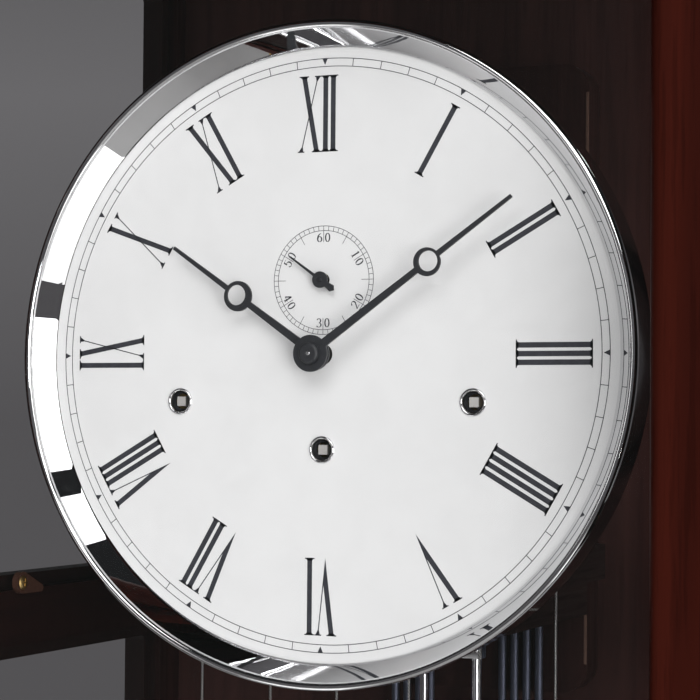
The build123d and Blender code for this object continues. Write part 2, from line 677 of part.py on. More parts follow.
# Door knob, turned, on the stile away from the hinges
KNOB_X = -CASE_HALF_WIDTH + DOOR_STILE / 2
KNOB_Z = DOOR_LOW + KNOB_ABOVE_DOOR_FOOT
BALL_MIDDLE = KNOB_LENGTH - KNOB_RADIUS
NECK_END = BALL_MIDDLE - math.sqrt(KNOB_RADIUS**2 - KNOB_NECK_RADIUS**2)
with BuildPart() as door_knob:
    with BuildSketch(Plane(origin=(KNOB_X, DOOR_FRONT_Y, KNOB_Z))):
        with BuildLine():
            Polyline((0, 0), (KNOB_ROSE_RADIUS, 0), (KNOB_ROSE_RADIUS, -KNOB_ROSE_EDGE),
                     (KNOB_NECK_RADIUS, -KNOB_ROSE_HEIGHT), (KNOB_NECK_RADIUS, -NECK_END))
            ThreePointArc((KNOB_NECK_RADIUS, -NECK_END), (KNOB_RADIUS, -BALL_MIDDLE), (0, -KNOB_LENGTH))
            Line((0, -KNOB_LENGTH), (0, 0))
        make_face()
    revolve(axis=Axis((KNOB_X, DOOR_FRONT_Y, KNOB_Z), (0, 1, 0)))
write(door_knob, "door_knob")

# Butt hinges on the right edge: outer knuckles and pins on the case, middle knuckle on the door
KNUCKLE = (HINGE_LENGTH - 2 * HINGE_KNUCKLE_GAP) / 3
HINGE_FOOT = DOOR_LOW + HINGE_END_DISTANCE
HINGE_HEAD = DOOR_HIGH - HINGE_END_DISTANCE
HINGE_HEIGHTS = (HINGE_FOOT, (HINGE_FOOT + HINGE_HEAD) / 2, HINGE_HEAD)


def hinge_leaf(low, toward):
    """Add the plate of a hinge leaf, clear of the other leaf's knuckles."""
    near = HINGE_Y + toward * HINGE_LEAF_NOTCH
    block(CASE_HALF_WIDTH, CASE_HALF_WIDTH + HINGE_LEAF_THICKNESS, near, near + toward * HINGE_LEAF_WIDTH,
          low, low + HINGE_LENGTH)


def hinge_knuckle(low, toward, clearance):
    """Add one bored knuckle with the web that joins it to its leaf."""
    web_end = HINGE_Y + toward * HINGE_LEAF_NOTCH
    block(CASE_HALF_WIDTH, CASE_HALF_WIDTH + HINGE_LEAF_THICKNESS, HINGE_Y, web_end, low, low + KNUCKLE)
    knuckle_bottom = Plane(origin=(HINGE_X, HINGE_Y, low))
    with BuildSketch(knuckle_bottom) as barrel_end:
        Circle(HINGE_KNUCKLE_RADIUS)
    extrude(barrel_end.sketch, amount=KNUCKLE)
    with BuildSketch(knuckle_bottom) as hole:
        Circle(HINGE_PIN_RADIUS + clearance)
    extrude(hole.sketch, amount=KNUCKLE, mode=Mode.SUBTRACT)


with BuildPart() as hinge_case_leaves:
    for height in HINGE_HEIGHTS:
        low = height - HINGE_LENGTH / 2
        hinge_leaf(low, 1)
        hinge_knuckle(low, 1, 0)
        hinge_knuckle(low + 2 * (KNUCKLE + HINGE_KNUCKLE_GAP), 1, 0)
        with BuildSketch(Plane.XY.offset(low)):
            with Locations((HINGE_X, HINGE_Y)):
                Circle(HINGE_PIN_RADIUS)
        extrude(amount=HINGE_LENGTH)
write(hinge_case_leaves, "hinge_case_leaves")

with BuildPart() as hinge_door_leaves:
    for height in HINGE_HEIGHTS:
        low = height - HINGE_LENGTH / 2
        hinge_leaf(low, -1)
        hinge_knuckle(low + KNUCKLE + HINGE_KNUCKLE_GAP, -1, HINGE_RUNNING_CLEARANCE)
write(hinge_door_leaves, "hinge_door_leaves")

# Dial plate with holes for the hands, the seconds arbor and the winding squares
with BuildPart() as dial_plate:
    with BuildSketch(facing(DIAL_THICKNESS)):
        Circle(DIAL_RADIUS)
        Circle(HAND_HOLE_RADIUS, mode=Mode.SUBTRACT)
        with Locations(ESCAPE_ARBOR):
            Circle(SECONDS_HOLE_RADIUS, mode=Mode.SUBTRACT)
        with Locations(*TRAINS.values()):
            Circle(FERRULE_TUBE_RADIUS + FERRULE_FIT, mode=Mode.SUBTRACT)
    extrude(amount=DIAL_THICKNESS)
write(dial_plate, "dial_plate")

# Winding ferrules: flanged eyelets in the dial
EYELET_INNER = FERRULE_BORE_RADIUS + FERRULE_FLANGE / 2
EYELET_OUTER = FERRULE_FLANGE_RADIUS - FERRULE_FLANGE / 2
with BuildPart() as winding_ferrules:
    for arbor in TRAINS.values():
        turned(arbor, (FERRULE_BORE_RADIUS, FERRULE_LENGTH), (FERRULE_TUBE_RADIUS, FERRULE_LENGTH),
               (FERRULE_TUBE_RADIUS, 0), (FERRULE_FLANGE_RADIUS, 0), (EYELET_OUTER, -FERRULE_FLANGE),
               (EYELET_INNER, -FERRULE_FLANGE), (FERRULE_BORE_RADIUS, -FERRULE_FLANGE / 2))
write(winding_ferrules, "winding_ferrules")


def bead_point(angle):
    """Point of the rolled bead at an angle of its section, as a radius and a depth."""
    return (BEZEL_RADIUS - BEZEL_BEAD_INSET + BEZEL_BEAD_RADIUS * math.cos(math.radians(angle)),
            -BEZEL_FRONT + BEZEL_BEAD_RADIUS * math.sin(math.radians(angle)))


# Bezel: a spun drum with a rolled front bead and a concave flange down to the dial
FLANGE_FRONT = bead_point(BEZEL_BEAD_START)
BEAD_END = bead_point(math.degrees(math.acos(BEZEL_BEAD_INSET / BEZEL_BEAD_RADIUS)))
FOOT_RADIUS_AT = DIAL_OPENING_RADIUS + BEZEL_FOOT_LIP
FLANGE_FOOT = (FOOT_RADIUS_AT, -BEZEL_WALL)
FOOT_BACK = (FOOT_RADIUS_AT + BEZEL_WALL, 0)
DRUM_INSIDE = BEZEL_RADIUS - BEZEL_WALL
with BuildPart() as bezel:
    with BuildSketch(along_arbor()):
        with BuildLine():
            Polyline(FOOT_BACK, (FOOT_RADIUS_AT, 0), (DIAL_OPENING_RADIUS, -BEZEL_WALL / 2), FLANGE_FOOT)
            SagittaArc(FLANGE_FOOT, FLANGE_FRONT, FLANGE_HOLLOW)
            ThreePointArc(FLANGE_FRONT, bead_point(BEZEL_BEAD_MIDDLE), BEAD_END)
            Polyline(BEAD_END, (BEZEL_RADIUS, BEZEL_BACK), (DRUM_INSIDE, BEZEL_BACK),
                     (DRUM_INSIDE, -BEZEL_FRONT + BEZEL_BEAD_RADIUS), FOOT_BACK)
        make_face()
    revolve(axis=arbor_axis())
write(bezel, "bezel")


def plate(back, bores):
    """Add a movement plate with a round hole for each arbor that passes it."""
    with BuildSketch(facing(back)) as face:
        with Locations((0, (PLATE_TOP + SEAT_TOP) / 2)):
            RectangleRounded(2 * PLATE_HALF_WIDTH, PLATE_TOP - SEAT_TOP, PLATE_CORNER)
        for arbor, radius in bores:
            with Locations(arbor):
                Circle(radius + RUNNING_CLEARANCE, mode=Mode.SUBTRACT)
    extrude(face.sketch, amount=PLATE_THICKNESS)


ARBOR_BORES = [(arbor, BARREL_ARBOR_RADIUS) for arbor in TRAINS.values()]
ARBOR_BORES += [(arbor, ARBOR_RADIUS) for arbor in (CENTRE, THIRD_ARBOR, ESCAPE_ARBOR, ANCHOR_ARBOR)]

# Movement plates, with the stud of the motion work on the front one
with BuildPart() as front_plate:
    plate(FRONT_PLATE_BACK, ARBOR_BORES)
    rod_along(MOTION_ARBOR, MOTION_STUD_RADIUS, HOUR_WHEEL_FRONT - MOTION_STUD_OUT,
              FRONT_PLATE_BACK - PLATE_THICKNESS)
write(front_plate, "front_plate")

with BuildPart() as back_plate:
    plate(BACK_PLATE_BACK, ARBOR_BORES)
write(back_plate, "back_plate")

# Pillars between the plates with their nuts, and the posts that hold the dial
with BuildPart() as movement_posts:
    for side in (-1, 1):
        for rise in (-1, 1):
            corner = (side * PILLAR_SIDE, rise * PILLAR_RISE)
            rod_along(corner, PILLAR_RADIUS, FRONT_PLATE_BACK, BACK_PLATE_BACK - PLATE_THICKNESS)
            rod_along(corner, PILLAR_NUT_RADIUS, BACK_PLATE_BACK, BACK_PLATE_BACK + PILLAR_NUT_HEIGHT)
            post = (side * DIAL_POST_SIDE, rise * DIAL_POST_RISE)
            rod_along(post, DIAL_POST_RADIUS, DIAL_THICKNESS, FRONT_PLATE_BACK - PLATE_THICKNESS)
write(movement_posts, "movement_posts")


def crossed_wheel(arbor, count, module, front, thickness, phase, hub_radius):
    """Add a spoked wheel with cut teeth."""
    with BuildSketch(facing(front + thickness, arbor)) as blank:
        wheel_teeth(count, module, phase)
    extrude(blank.sketch, amount=thickness)
    with BuildSketch(facing(front + thickness, arbor)) as windows:
        crossing(module * (count / 2 - WHEEL_DEDENDUM) - RIM_WIDTH, hub_radius)
    extrude(windows.sketch, amount=thickness, mode=Mode.SUBTRACT)


def pinion(arbor, count, module, front, length, phase):
    """Add a pinion of slim leaves."""
    with BuildSketch(facing(front + length, arbor)) as blank:
        pinion_teeth(count, module, phase)
    extrude(blank.sketch, amount=length)


def bore(arbor, radius, start, end):
    """Cut a round hole along an arbor."""
    with BuildSketch(facing(end, arbor)) as hole:
        Circle(radius)
    extrude(hole.sketch, amount=end - start, mode=Mode.SUBTRACT)


def gap_phase(start, end, count):
    """Phase that puts a tooth gap of a gear towards another arbor."""
    return direction(start, end) + 180 / count


# Time great wheel, free on the barrel arbor
with BuildPart() as time_great_wheel:
    crossed_wheel(TIME_ARBOR, GREAT_TEETH, GREAT_MODULE, GREAT_WHEEL_FRONT, GREAT_THICKNESS,
                  direction(TIME_ARBOR, CENTRE), HUB_RADIUS + BARREL_ARBOR_RADIUS)
    bore(TIME_ARBOR, BARREL_ARBOR_RADIUS + RUNNING_CLEARANCE, GREAT_WHEEL_FRONT,
         GREAT_WHEEL_FRONT + GREAT_THICKNESS)
write(time_great_wheel, "time_great_wheel")

# Centre wheel with its pinion and the long arbor inside the cannon pipe
with BuildPart() as centre_wheel:
    crossed_wheel(CENTRE, CENTRE_TEETH, CENTRE_MODULE, CENTRE_WHEEL_FRONT, WHEEL_THICKNESS,
                  direction(CENTRE, THIRD_ARBOR), HUB_RADIUS)
    pinion(CENTRE, CENTRE_PINION_TEETH, GREAT_MODULE, GREAT_WHEEL_FRONT - PINION_LEAD, PINION_LENGTH,
           gap_phase(CENTRE, TIME_ARBOR, CENTRE_PINION_TEETH))
    rod_along(CENTRE, ARBOR_RADIUS, -MINUTE_HAND_FRONT + NUT_HEIGHT / 2, BACK_PLATE_BACK)
write(centre_wheel, "centre_wheel")

# Third wheel and pinion
with BuildPart() as third_wheel:
    crossed_wheel(THIRD_ARBOR, THIRD_TEETH, THIRD_MODULE, THIRD_WHEEL_FRONT, WHEEL_THICKNESS,
                  direction(THIRD_ARBOR, ESCAPE_ARBOR), HUB_RADIUS)
    pinion(THIRD_ARBOR, THIRD_PINION_TEETH, CENTRE_MODULE, CENTRE_WHEEL_FRONT - PINION_LEAD, PINION_LENGTH,
           gap_phase(THIRD_ARBOR, CENTRE, THIRD_PINION_TEETH))
    rod_along(THIRD_ARBOR, ARBOR_RADIUS, FRONT_PLATE_BACK - PLATE_THICKNESS, BACK_PLATE_BACK)
write(third_wheel, "third_wheel")

# Escape wheel with pointed teeth, its pinion, and the arbor that carries the seconds hand
ESCAPE_ROOT = ESCAPE_ROOT_SHARE * ESCAPE_RADIUS
SECONDS_PIPE_BACK = DIAL_THICKNESS + SECONDS_PIPE_ROOT
with BuildPart() as escape_wheel:
    with BuildSketch(facing(ESCAPE_WHEEL_FRONT + WHEEL_THICKNESS, ESCAPE_ARBOR)):
        tooth_points = []
        for index in range(ESCAPE_TEETH):
            tooth = ((ESCAPE_ROOT, 0), (ESCAPE_RADIUS, ESCAPE_TIP_LEAN), (ESCAPE_ROOT, ESCAPE_BACK_LEAN))
            for reach, share in tooth:
                angle = 2 * math.pi * (index + share) / ESCAPE_TEETH
                tooth_points.append((reach * math.cos(angle), reach * math.sin(angle)))
        outline(*tooth_points)
    extrude(amount=WHEEL_THICKNESS)
    with BuildSketch(facing(ESCAPE_WHEEL_FRONT + WHEEL_THICKNESS, ESCAPE_ARBOR)):
        crossing(ESCAPE_ROOT - RIM_WIDTH, HUB_RADIUS)
    extrude(amount=WHEEL_THICKNESS, mode=Mode.SUBTRACT)
    pinion(ESCAPE_ARBOR, ESCAPE_PINION_TEETH, THIRD_MODULE, THIRD_WHEEL_FRONT - PINION_LEAD, PINION_LENGTH,
           gap_phase(ESCAPE_ARBOR, THIRD_ARBOR, ESCAPE_PINION_TEETH))
    rod_along(ESCAPE_ARBOR, ARBOR_RADIUS, SECONDS_PIPE_BACK, BACK_PLATE_BACK)
    pipe_front = SECONDS_HAND_THICKNESS - SECONDS_HAND_FRONT
    rod_along(ESCAPE_ARBOR, SECONDS_PIPE_RADIUS, pipe_front, SECONDS_PIPE_BACK)
write(escape_wheel, "escape_wheel")

# Pallet anchor over the escape wheel, with the crutch that reaches back to the pendulum
with BuildPart() as pallet_anchor:
    half_span = math.radians(ANCHOR_SPAN / 2)
    pallet_radius = ESCAPE_RADIUS + ANCHOR_CLEARANCE
    tip_x = pallet_radius * math.sin(half_span)
    tip_z = pallet_radius * math.cos(half_span) - (ANCHOR_ARBOR_RISE - SECONDS_ARBOR_RISE)
    with BuildSketch(facing(ESCAPE_WHEEL_FRONT + WHEEL_THICKNESS, ANCHOR_ARBOR)):
        shoulder = tip_z + ANCHOR_REACH
        inner_x = tip_x - PALLET_TIP_WIDTH
        outer_x = tip_x + ANCHOR_ARM_WIDTH
        outline((0, ANCHOR_REACH), (outer_x, shoulder), (tip_x, tip_z), (inner_x, shoulder),
                (0, -ANCHOR_ARM_WIDTH), (-inner_x, shoulder), (-tip_x, tip_z), (-outer_x, shoulder))
    extrude(amount=WHEEL_THICKNESS)
    rod_along(ANCHOR_ARBOR, ARBOR_RADIUS, FRONT_PLATE_BACK - PLATE_THICKNESS, CRUTCH_BEHIND)
    with BuildSketch(facing(CRUTCH_BEHIND + LEADER_THICKNESS, ANCHOR_ARBOR)):
        Circle(CRUTCH_BOSS_RADIUS)
        span(-CRUTCH_WIDTH / 2, CRUTCH_WIDTH / 2, -CRUTCH_DROP, 0)
        fork_reach = LEADER_WIDTH / 2 + LEADER_FORK_GAP + CRUTCH_PIN_RADIUS
        fork_end = fork_reach + CRUTCH_PIN_RADIUS
        span(-fork_end, fork_end, -CRUTCH_DROP - CRUTCH_WIDTH, -CRUTCH_DROP)
    extrude(amount=LEADER_THICKNESS)
    for side in (-1, 1):
        pin_place = (side * fork_reach, ANCHOR_ARBOR_RISE - CRUTCH_DROP - CRUTCH_WIDTH / 2)
        rod_along(pin_place, CRUTCH_PIN_RADIUS, CRUTCH_BEHIND, PENDULUM_BEHIND + CRUTCH_PIN_OUT)
write(pallet_anchor, "pallet_anchor")

# Cannon pinion: twelve leaves on the pipe that carries the minute hand
with BuildPart() as cannon_pinion:
    pinion(CENTRE, CANNON_TEETH, MOTION_MODULE, CANNON_FRONT, CANNON_LENGTH,
           gap_phase(CENTRE, MOTION_ARBOR, CANNON_TEETH))
    rod_along(CENTRE, CANNON_PIPE_RADIUS, -MINUTE_HAND_FRONT, CANNON_FRONT)
    bore(CENTRE, ARBOR_RADIUS + RUNNING_CLEARANCE, -MINUTE_HAND_FRONT, CANNON_FRONT + CANNON_LENGTH)
write(cannon_pinion, "cannon_pinion")

# Minute wheel and pinion of the motion work, on the stud of the front plate
with BuildPart() as minute_wheel:
    crossed_wheel(MOTION_ARBOR, MINUTE_TEETH, MOTION_MODULE, MINUTE_WHEEL_FRONT, WHEEL_THICKNESS,
                  direction(MOTION_ARBOR, CENTRE), HUB_RADIUS)
    leaf_front = HOUR_WHEEL_FRONT - MINUTE_PINION_LEAD
    pinion(MOTION_ARBOR, MINUTE_PINION_TEETH, HOUR_MODULE, leaf_front, MINUTE_WHEEL_FRONT - leaf_front,
           gap_phase(MOTION_ARBOR, CENTRE, MINUTE_PINION_TEETH))
    bore(MOTION_ARBOR, MOTION_STUD_RADIUS + RUNNING_CLEARANCE, 0, FRONT_PLATE_BACK)
write(minute_wheel, "minute_wheel")

# Hour wheel on the pipe that carries the hour hand
with BuildPart() as hour_wheel:
    crossed_wheel(CENTRE, HOUR_TEETH, HOUR_MODULE, HOUR_WHEEL_FRONT, WHEEL_THICKNESS,
                  direction(CENTRE, MOTION_ARBOR), HOUR_HUB_RADIUS)
    rod_along(CENTRE, HOUR_PIPE_RADIUS, -HOUR_HAND_FRONT, HOUR_WHEEL_FRONT)
    bore(CENTRE, CANNON_PIPE_RADIUS + RUNNING_CLEARANCE, -HOUR_HAND_FRONT, HOUR_WHEEL_FRONT + WHEEL_THICKNESS)
write(hour_wheel, "hour_wheel")


def hand(turn, front, length, ring_at, ring_radius, ring_hole, ring_offset, boss, eye):
    """Add a hand with an open moon ring, pointing at a clockwise angle."""
    neck = HAND_NECK_WIDTH / 2
    root = HAND_ROOT_WIDTH / 2
    tip = HAND_TIP_WIDTH / 2
    with BuildSketch(facing(HAND_THICKNESS - front, CENTRE, turn)) as face:
        Circle(boss)
        outline((-root, 0), (root, 0), (neck, ring_at), (-neck, ring_at))
        with Locations((0, ring_at)):
            Circle(ring_radius)
        outline((-neck, ring_at), (neck, ring_at), (tip, length), (-tip, length))
        with Locations((0, ring_at + ring_offset)):
            Circle(ring_hole, mode=Mode.SUBTRACT)
        Circle(eye + HAND_FIT, mode=Mode.SUBTRACT)
    extrude(face.sketch, amount=HAND_THICKNESS)


# Hands with open rings, set at about nine minutes past ten
with BuildPart() as hour_hand:
    hand(HOUR_HAND_ANGLE, HOUR_HAND_FRONT, HOUR_HAND_LENGTH, HOUR_RING_AT, HOUR_RING_RADIUS, HOUR_RING_HOLE,
         HOUR_RING_OFFSET, HOUR_BOSS_RADIUS, HOUR_PIPE_RADIUS)
write(hour_hand, "hour_hand")

with BuildPart() as minute_hand:
    hand(MINUTE_HAND_ANGLE, MINUTE_HAND_FRONT, MINUTE_HAND_LENGTH, MINUTE_RING_AT, MINUTE_RING_RADIUS,
         MINUTE_RING_HOLE, MINUTE_RING_OFFSET, MINUTE_BOSS_RADIUS, CANNON_PIPE_RADIUS)
write(minute_hand, "minute_hand")

# Hand nut over the end of the cannon pipe
with BuildPart() as hand_nut:
    nut_front = -MINUTE_HAND_FRONT - NUT_HEIGHT
    turned(CENTRE, (0, -MINUTE_HAND_FRONT), (NUT_RADIUS, -MINUTE_HAND_FRONT),
           (NUT_RADIUS, -MINUTE_HAND_FRONT - NUT_SIDE_HEIGHT), (NUT_TOP_RADIUS, nut_front), (0, nut_front))
write(hand_nut, "hand_nut")

# Seconds hand with a spade tail
with BuildPart() as seconds_hand:
    with BuildSketch(facing(SECONDS_HAND_THICKNESS - SECONDS_HAND_FRONT, ESCAPE_ARBOR, SECONDS_HAND_ANGLE)):
        Circle(SECONDS_HUB_RADIUS)
        root = SECONDS_HAND_WIDTH / 2
        tip = SECONDS_TIP_WIDTH / 2
        tail = SECONDS_TAIL_WIDTH / 2
        outline((-root, 0), (root, 0), (tip, SECONDS_HAND_LENGTH), (-tip, SECONDS_HAND_LENGTH))
        outline((-root, 0), (-tail, -SECONDS_TAIL_SHOULDER), (0, -SECONDS_TAIL_LENGTH),
                (tail, -SECONDS_TAIL_SHOULDER), (root, 0))
    extrude(amount=SECONDS_HAND_THICKNESS)
write(seconds_hand, "seconds_hand")

# Barrels: winding square, ratchet and flanged drum on one arbor for each train
DRUM_BACK = DRUM_FRONT + DRUM_LENGTH
SQUARE_BACK = WINDING_SQUARE_BEHIND + WINDING_SQUARE_LENGTH
RATCHET_FRONT = DRUM_FRONT - DRUM_FLANGE - RATCHET_THICKNESS - RATCHET_GAP
DRUM_FLANGE_FRONT = DRUM_FRONT - DRUM_FLANGE
DRUM_FLANGE_BACK = DRUM_BACK + DRUM_FLANGE
for train, arbor in TRAINS.items():
    with BuildPart() as barrel:
        rod_along(arbor, BARREL_ARBOR_RADIUS, SQUARE_BACK, BACK_PLATE_BACK)
        rod_along(arbor, DRUM_FLANGE_RADIUS, DRUM_FLANGE_FRONT, DRUM_FRONT)
        rod_along(arbor, DRUM_RADIUS, DRUM_FRONT, DRUM_BACK)
        rod_along(arbor, DRUM_FLANGE_RADIUS, DRUM_BACK, DRUM_FLANGE_BACK)
        with BuildSketch(facing(SQUARE_BACK, arbor)):
            Rectangle(WINDING_SQUARE, WINDING_SQUARE)
        extrude(amount=WINDING_SQUARE_LENGTH)
        with BuildSketch(facing(RATCHET_FRONT + RATCHET_THICKNESS, arbor)):
            ratchet_points = []
            for index in range(RATCHET_TEETH):
                for reach, share in ((RATCHET_RADIUS, 0), (RATCHET_RADIUS - RATCHET_DEPTH, RATCHET_UNDERCUT)):
                    angle = 2 * math.pi * (index + share) / RATCHET_TEETH
                    ratchet_points.append((reach * math.cos(angle), reach * math.sin(angle)))
            outline(*ratchet_points)
        extrude(amount=RATCHET_THICKNESS)
    write(barrel, f"{train}_barrel")

# Weights hung from grooved pulleys, each in the bight of its own cable
STIRRUP_INNER = PULLEY_WIDTH / 2 + STIRRUP_GAP
for train, arbor in TRAINS.items():
    x = arbor[0]
    pulley_axis = Axis((x, CABLE_Y, PULLEY_Z), (0, 1, 0))
    pulley_plane = Plane(origin=(x, CABLE_Y, PULLEY_Z))
    with BuildPart() as weight:
        with BuildSketch(upright(x, CABLE_Y)):
            span(0, WEIGHT_CAP_RADIUS, WEIGHT_FOOT, WEIGHT_FOOT + WEIGHT_CAP_HEIGHT)
            span(0, WEIGHT_RADIUS, WEIGHT_FOOT, WEIGHT_TOP)
            span(0, WEIGHT_CAP_RADIUS, WEIGHT_TOP - WEIGHT_CAP_HEIGHT, WEIGHT_TOP)
            span(0, STIRRUP_STEM_RADIUS, WEIGHT_TOP, BRIDGE_Z)
        revolve(axis=upright_axis(x, CABLE_Y))
        block(x - STIRRUP_WIDTH / 2, x + STIRRUP_WIDTH / 2, CABLE_Y - STIRRUP_INNER - STIRRUP_THICKNESS,
              CABLE_Y + STIRRUP_INNER + STIRRUP_THICKNESS, BRIDGE_Z, BRIDGE_Z + STIRRUP_BRIDGE)
        for side in (-1, 1):
            block(x - STIRRUP_WIDTH / 2, x + STIRRUP_WIDTH / 2, CABLE_Y + side * STIRRUP_INNER,
                  CABLE_Y + side * (STIRRUP_INNER + STIRRUP_THICKNESS), BRIDGE_Z, PULLEY_Z + STIRRUP_ABOVE)
        with BuildSketch(Plane.XZ.offset(-CABLE_Y - STIRRUP_INNER)):
            with Locations((x, PULLEY_Z)):
                Circle(PULLEY_AXLE_RADIUS)
        extrude(amount=2 * STIRRUP_INNER)
        with BuildSketch(pulley_plane):
            with Locations((CABLE_WRAP_RADIUS, 0)):
                Circle(CABLE_RADIUS)
        revolve(axis=pulley_axis, revolution_arc=180)
    write(weight, f"{train}_weight")

    with BuildPart() as pulley:
        with BuildSketch(pulley_plane):
            bore_radius = PULLEY_AXLE_RADIUS + RUNNING_CLEARANCE
            half = PULLEY_WIDTH / 2
            groove = PULLEY_GROOVE_WIDTH / 2
            outline((bore_radius, -half), (PULLEY_RADIUS, -half), (PULLEY_GROOVE_RADIUS, -groove),
                    (PULLEY_GROOVE_RADIUS, groove), (PULLEY_RADIUS, half), (bore_radius, half))
        revolve(axis=pulley_axis)
    write(pulley, f"{train}_pulley")

    with BuildPart() as cable:
        runs = (
            (x - CABLE_WRAP_RADIUS, DIAL_HEIGHT + arbor[1]),
            (x + CABLE_WRAP_RADIUS, DIAL_HEIGHT + SEAT_BOTTOM),
        )
        for run_x, run_top in runs:
            with BuildSketch(Plane.XY.offset(PULLEY_Z + CABLE_END_GAP)):
                with Locations((run_x, CABLE_Y)):
                    Circle(CABLE_RADIUS)
            extrude(amount=run_top - PULLEY_Z - CABLE_END_GAP)
    write(cable, f"{train}_cable")

# Suspension bracket on the back pad, slotted for the pendulum spring
PIVOT_Z = DIAL_HEIGHT + ANCHOR_ARBOR_RISE
with BuildPart() as suspension_bracket:
    bracket_low = PIVOT_Z + SUSPENSION_ABOVE_PIVOT
    bracket_front = PENDULUM_Y - SPRING_WIDTH / 2 - SUSPENSION_REACH
    block(-SUSPENSION_WIDTH / 2, SUSPENSION_WIDTH / 2, bracket_front, PAD_FRONT_Y,
          bracket_low, bracket_low + SUSPENSION_HEIGHT)
    slot_back = PENDULUM_Y + SPRING_WIDTH / 2 + SUSPENSION_SLOT
    block(-SUSPENSION_SLOT / 2, SUSPENSION_SLOT / 2, bracket_front, slot_back,
          bracket_low, bracket_low + SUSPENSION_HEIGHT / 2, mode=Mode.SUBTRACT)
    fillet(suspension_bracket.edges().filter_by(Axis.Z).group_by(Axis.Y)[0], EDGE_ROUND / 2)
write(suspension_bracket, "suspension_bracket")

# Pendulum frame: spring, leader, two chrome rods between yokes, and the bob stem
YOKE_HALF = ROD_SPREAD + PENDULUM_ROD_RADIUS + YOKE_MARGIN
LEADER_TOP = PIVOT_Z - LEADER_TOP_DROP
BOB_Z = DIAL_HEIGHT + BOB_CENTRE
NUT_TOP = BOB_Z - BOB_RADIUS - RATING_NUT_GAP
with BuildPart() as pendulum_frame:
    block(-SPRING_THICKNESS / 2, SPRING_THICKNESS / 2, PENDULUM_Y - SPRING_WIDTH / 2,
          PENDULUM_Y + SPRING_WIDTH / 2, LEADER_TOP - YOKE_HEIGHT, PIVOT_Z + SPRING_ABOVE_PIVOT)
    block(-LEADER_WIDTH / 2, LEADER_WIDTH / 2, PENDULUM_Y - LEADER_THICKNESS / 2,
          PENDULUM_Y + LEADER_THICKNESS / 2, DIAL_HEIGHT + YOKE_TOP - YOKE_HEIGHT, LEADER_TOP)
    for yoke_top in (DIAL_HEIGHT + YOKE_TOP, DIAL_HEIGHT + LOWER_YOKE_TOP):
        block(-YOKE_HALF, YOKE_HALF, PENDULUM_Y - YOKE_THICKNESS / 2, PENDULUM_Y + YOKE_THICKNESS / 2,
              yoke_top - YOKE_HEIGHT, yoke_top)
    with BuildSketch(Plane.XY.offset(DIAL_HEIGHT + LOWER_YOKE_TOP)):
        with Locations((-ROD_SPREAD, PENDULUM_Y), (ROD_SPREAD, PENDULUM_Y)):
            Circle(PENDULUM_ROD_RADIUS)
    extrude(amount=YOKE_TOP - YOKE_HEIGHT - LOWER_YOKE_TOP)
    with BuildSketch(Plane.XY.offset(DIAL_HEIGHT + LOWER_YOKE_TOP - YOKE_HEIGHT)):
        with Locations((0, PENDULUM_Y)):
            Circle(BOB_STEM_RADIUS)
    extrude(amount=NUT_TOP - 2 * RATING_NUT_HEIGHT - (DIAL_HEIGHT + LOWER_YOKE_TOP - YOKE_HEIGHT))
write(pendulum_frame, "pendulum_frame")

# Bob: a lens-shaped disc on the stem
BOB_RISE = (BOB_THICKNESS - BOB_EDGE) / 2
BOB_FACE_RADIUS = (BOB_RADIUS**2 + BOB_RISE**2) / (2 * BOB_RISE)
with BuildPart() as pendulum_bob:
    with BuildSketch(Plane(origin=(0, PENDULUM_Y, BOB_Z))):
        with BuildLine():
            Line((0, BOB_THICKNESS / 2), (0, -BOB_THICKNESS / 2))
            RadiusArc((0, -BOB_THICKNESS / 2), (BOB_RADIUS, -BOB_EDGE / 2), -BOB_FACE_RADIUS)
            Line((BOB_RADIUS, -BOB_EDGE / 2), (BOB_RADIUS, BOB_EDGE / 2))
            RadiusArc((BOB_RADIUS, BOB_EDGE / 2), (0, BOB_THICKNESS / 2), -BOB_FACE_RADIUS)
        make_face()
    revolve(axis=Axis((0, PENDULUM_Y, BOB_Z), (0, 1, 0)))
    with BuildSketch(Plane.XY.offset(BOB_Z - BOB_RADIUS)):
        with Locations((0, PENDULUM_Y)):
            Circle(BOB_STEM_RADIUS + BOB_FIT)
    extrude(amount=2 * BOB_RADIUS, mode=Mode.SUBTRACT)
write(pendulum_bob, "pendulum_bob")

# Rating nut under the bob
with BuildPart() as rating_nut:
    with BuildSketch(Plane.XY.offset(NUT_TOP)):
        with Locations((0, PENDULUM_Y)):
            Circle(RATING_NUT_RADIUS)
            Circle(BOB_STEM_RADIUS + RUNNING_CLEARANCE, mode=Mode.SUBTRACT)
    extrude(amount=-RATING_NUT_HEIGHT)
    outer_edges = rating_nut.edges().filter_by(GeomType.CIRCLE).sort_by(SortBy.RADIUS)[-2:]
    chamfer(outer_edges, RATING_NUT_CHAMFER)
write(rating_nut, "rating_nut")

# Chime blocks on the back pad with the tuned rods that hang from them
ROD_PLACES = [CHIME_ROD_FIRST + index * CHIME_ROD_PITCH for index in range(CHIME_RODS_A_SIDE)]
CHIME_BLOCK_LOW = DIAL_HEIGHT + CHIME_BLOCK_TOP - CHIME_BLOCK_HEIGHT
with BuildPart() as chime_blocks:
    for side in (-1, 1):
        block(side * (ROD_PLACES[0] - CHIME_BLOCK_MARGIN), side * (ROD_PLACES[-1] + CHIME_BLOCK_MARGIN),
              PAD_FRONT_Y - CHIME_BLOCK_THICKNESS, PAD_FRONT_Y,
              CHIME_BLOCK_LOW, DIAL_HEIGHT + CHIME_BLOCK_TOP)
write(chime_blocks, "chime_blocks")

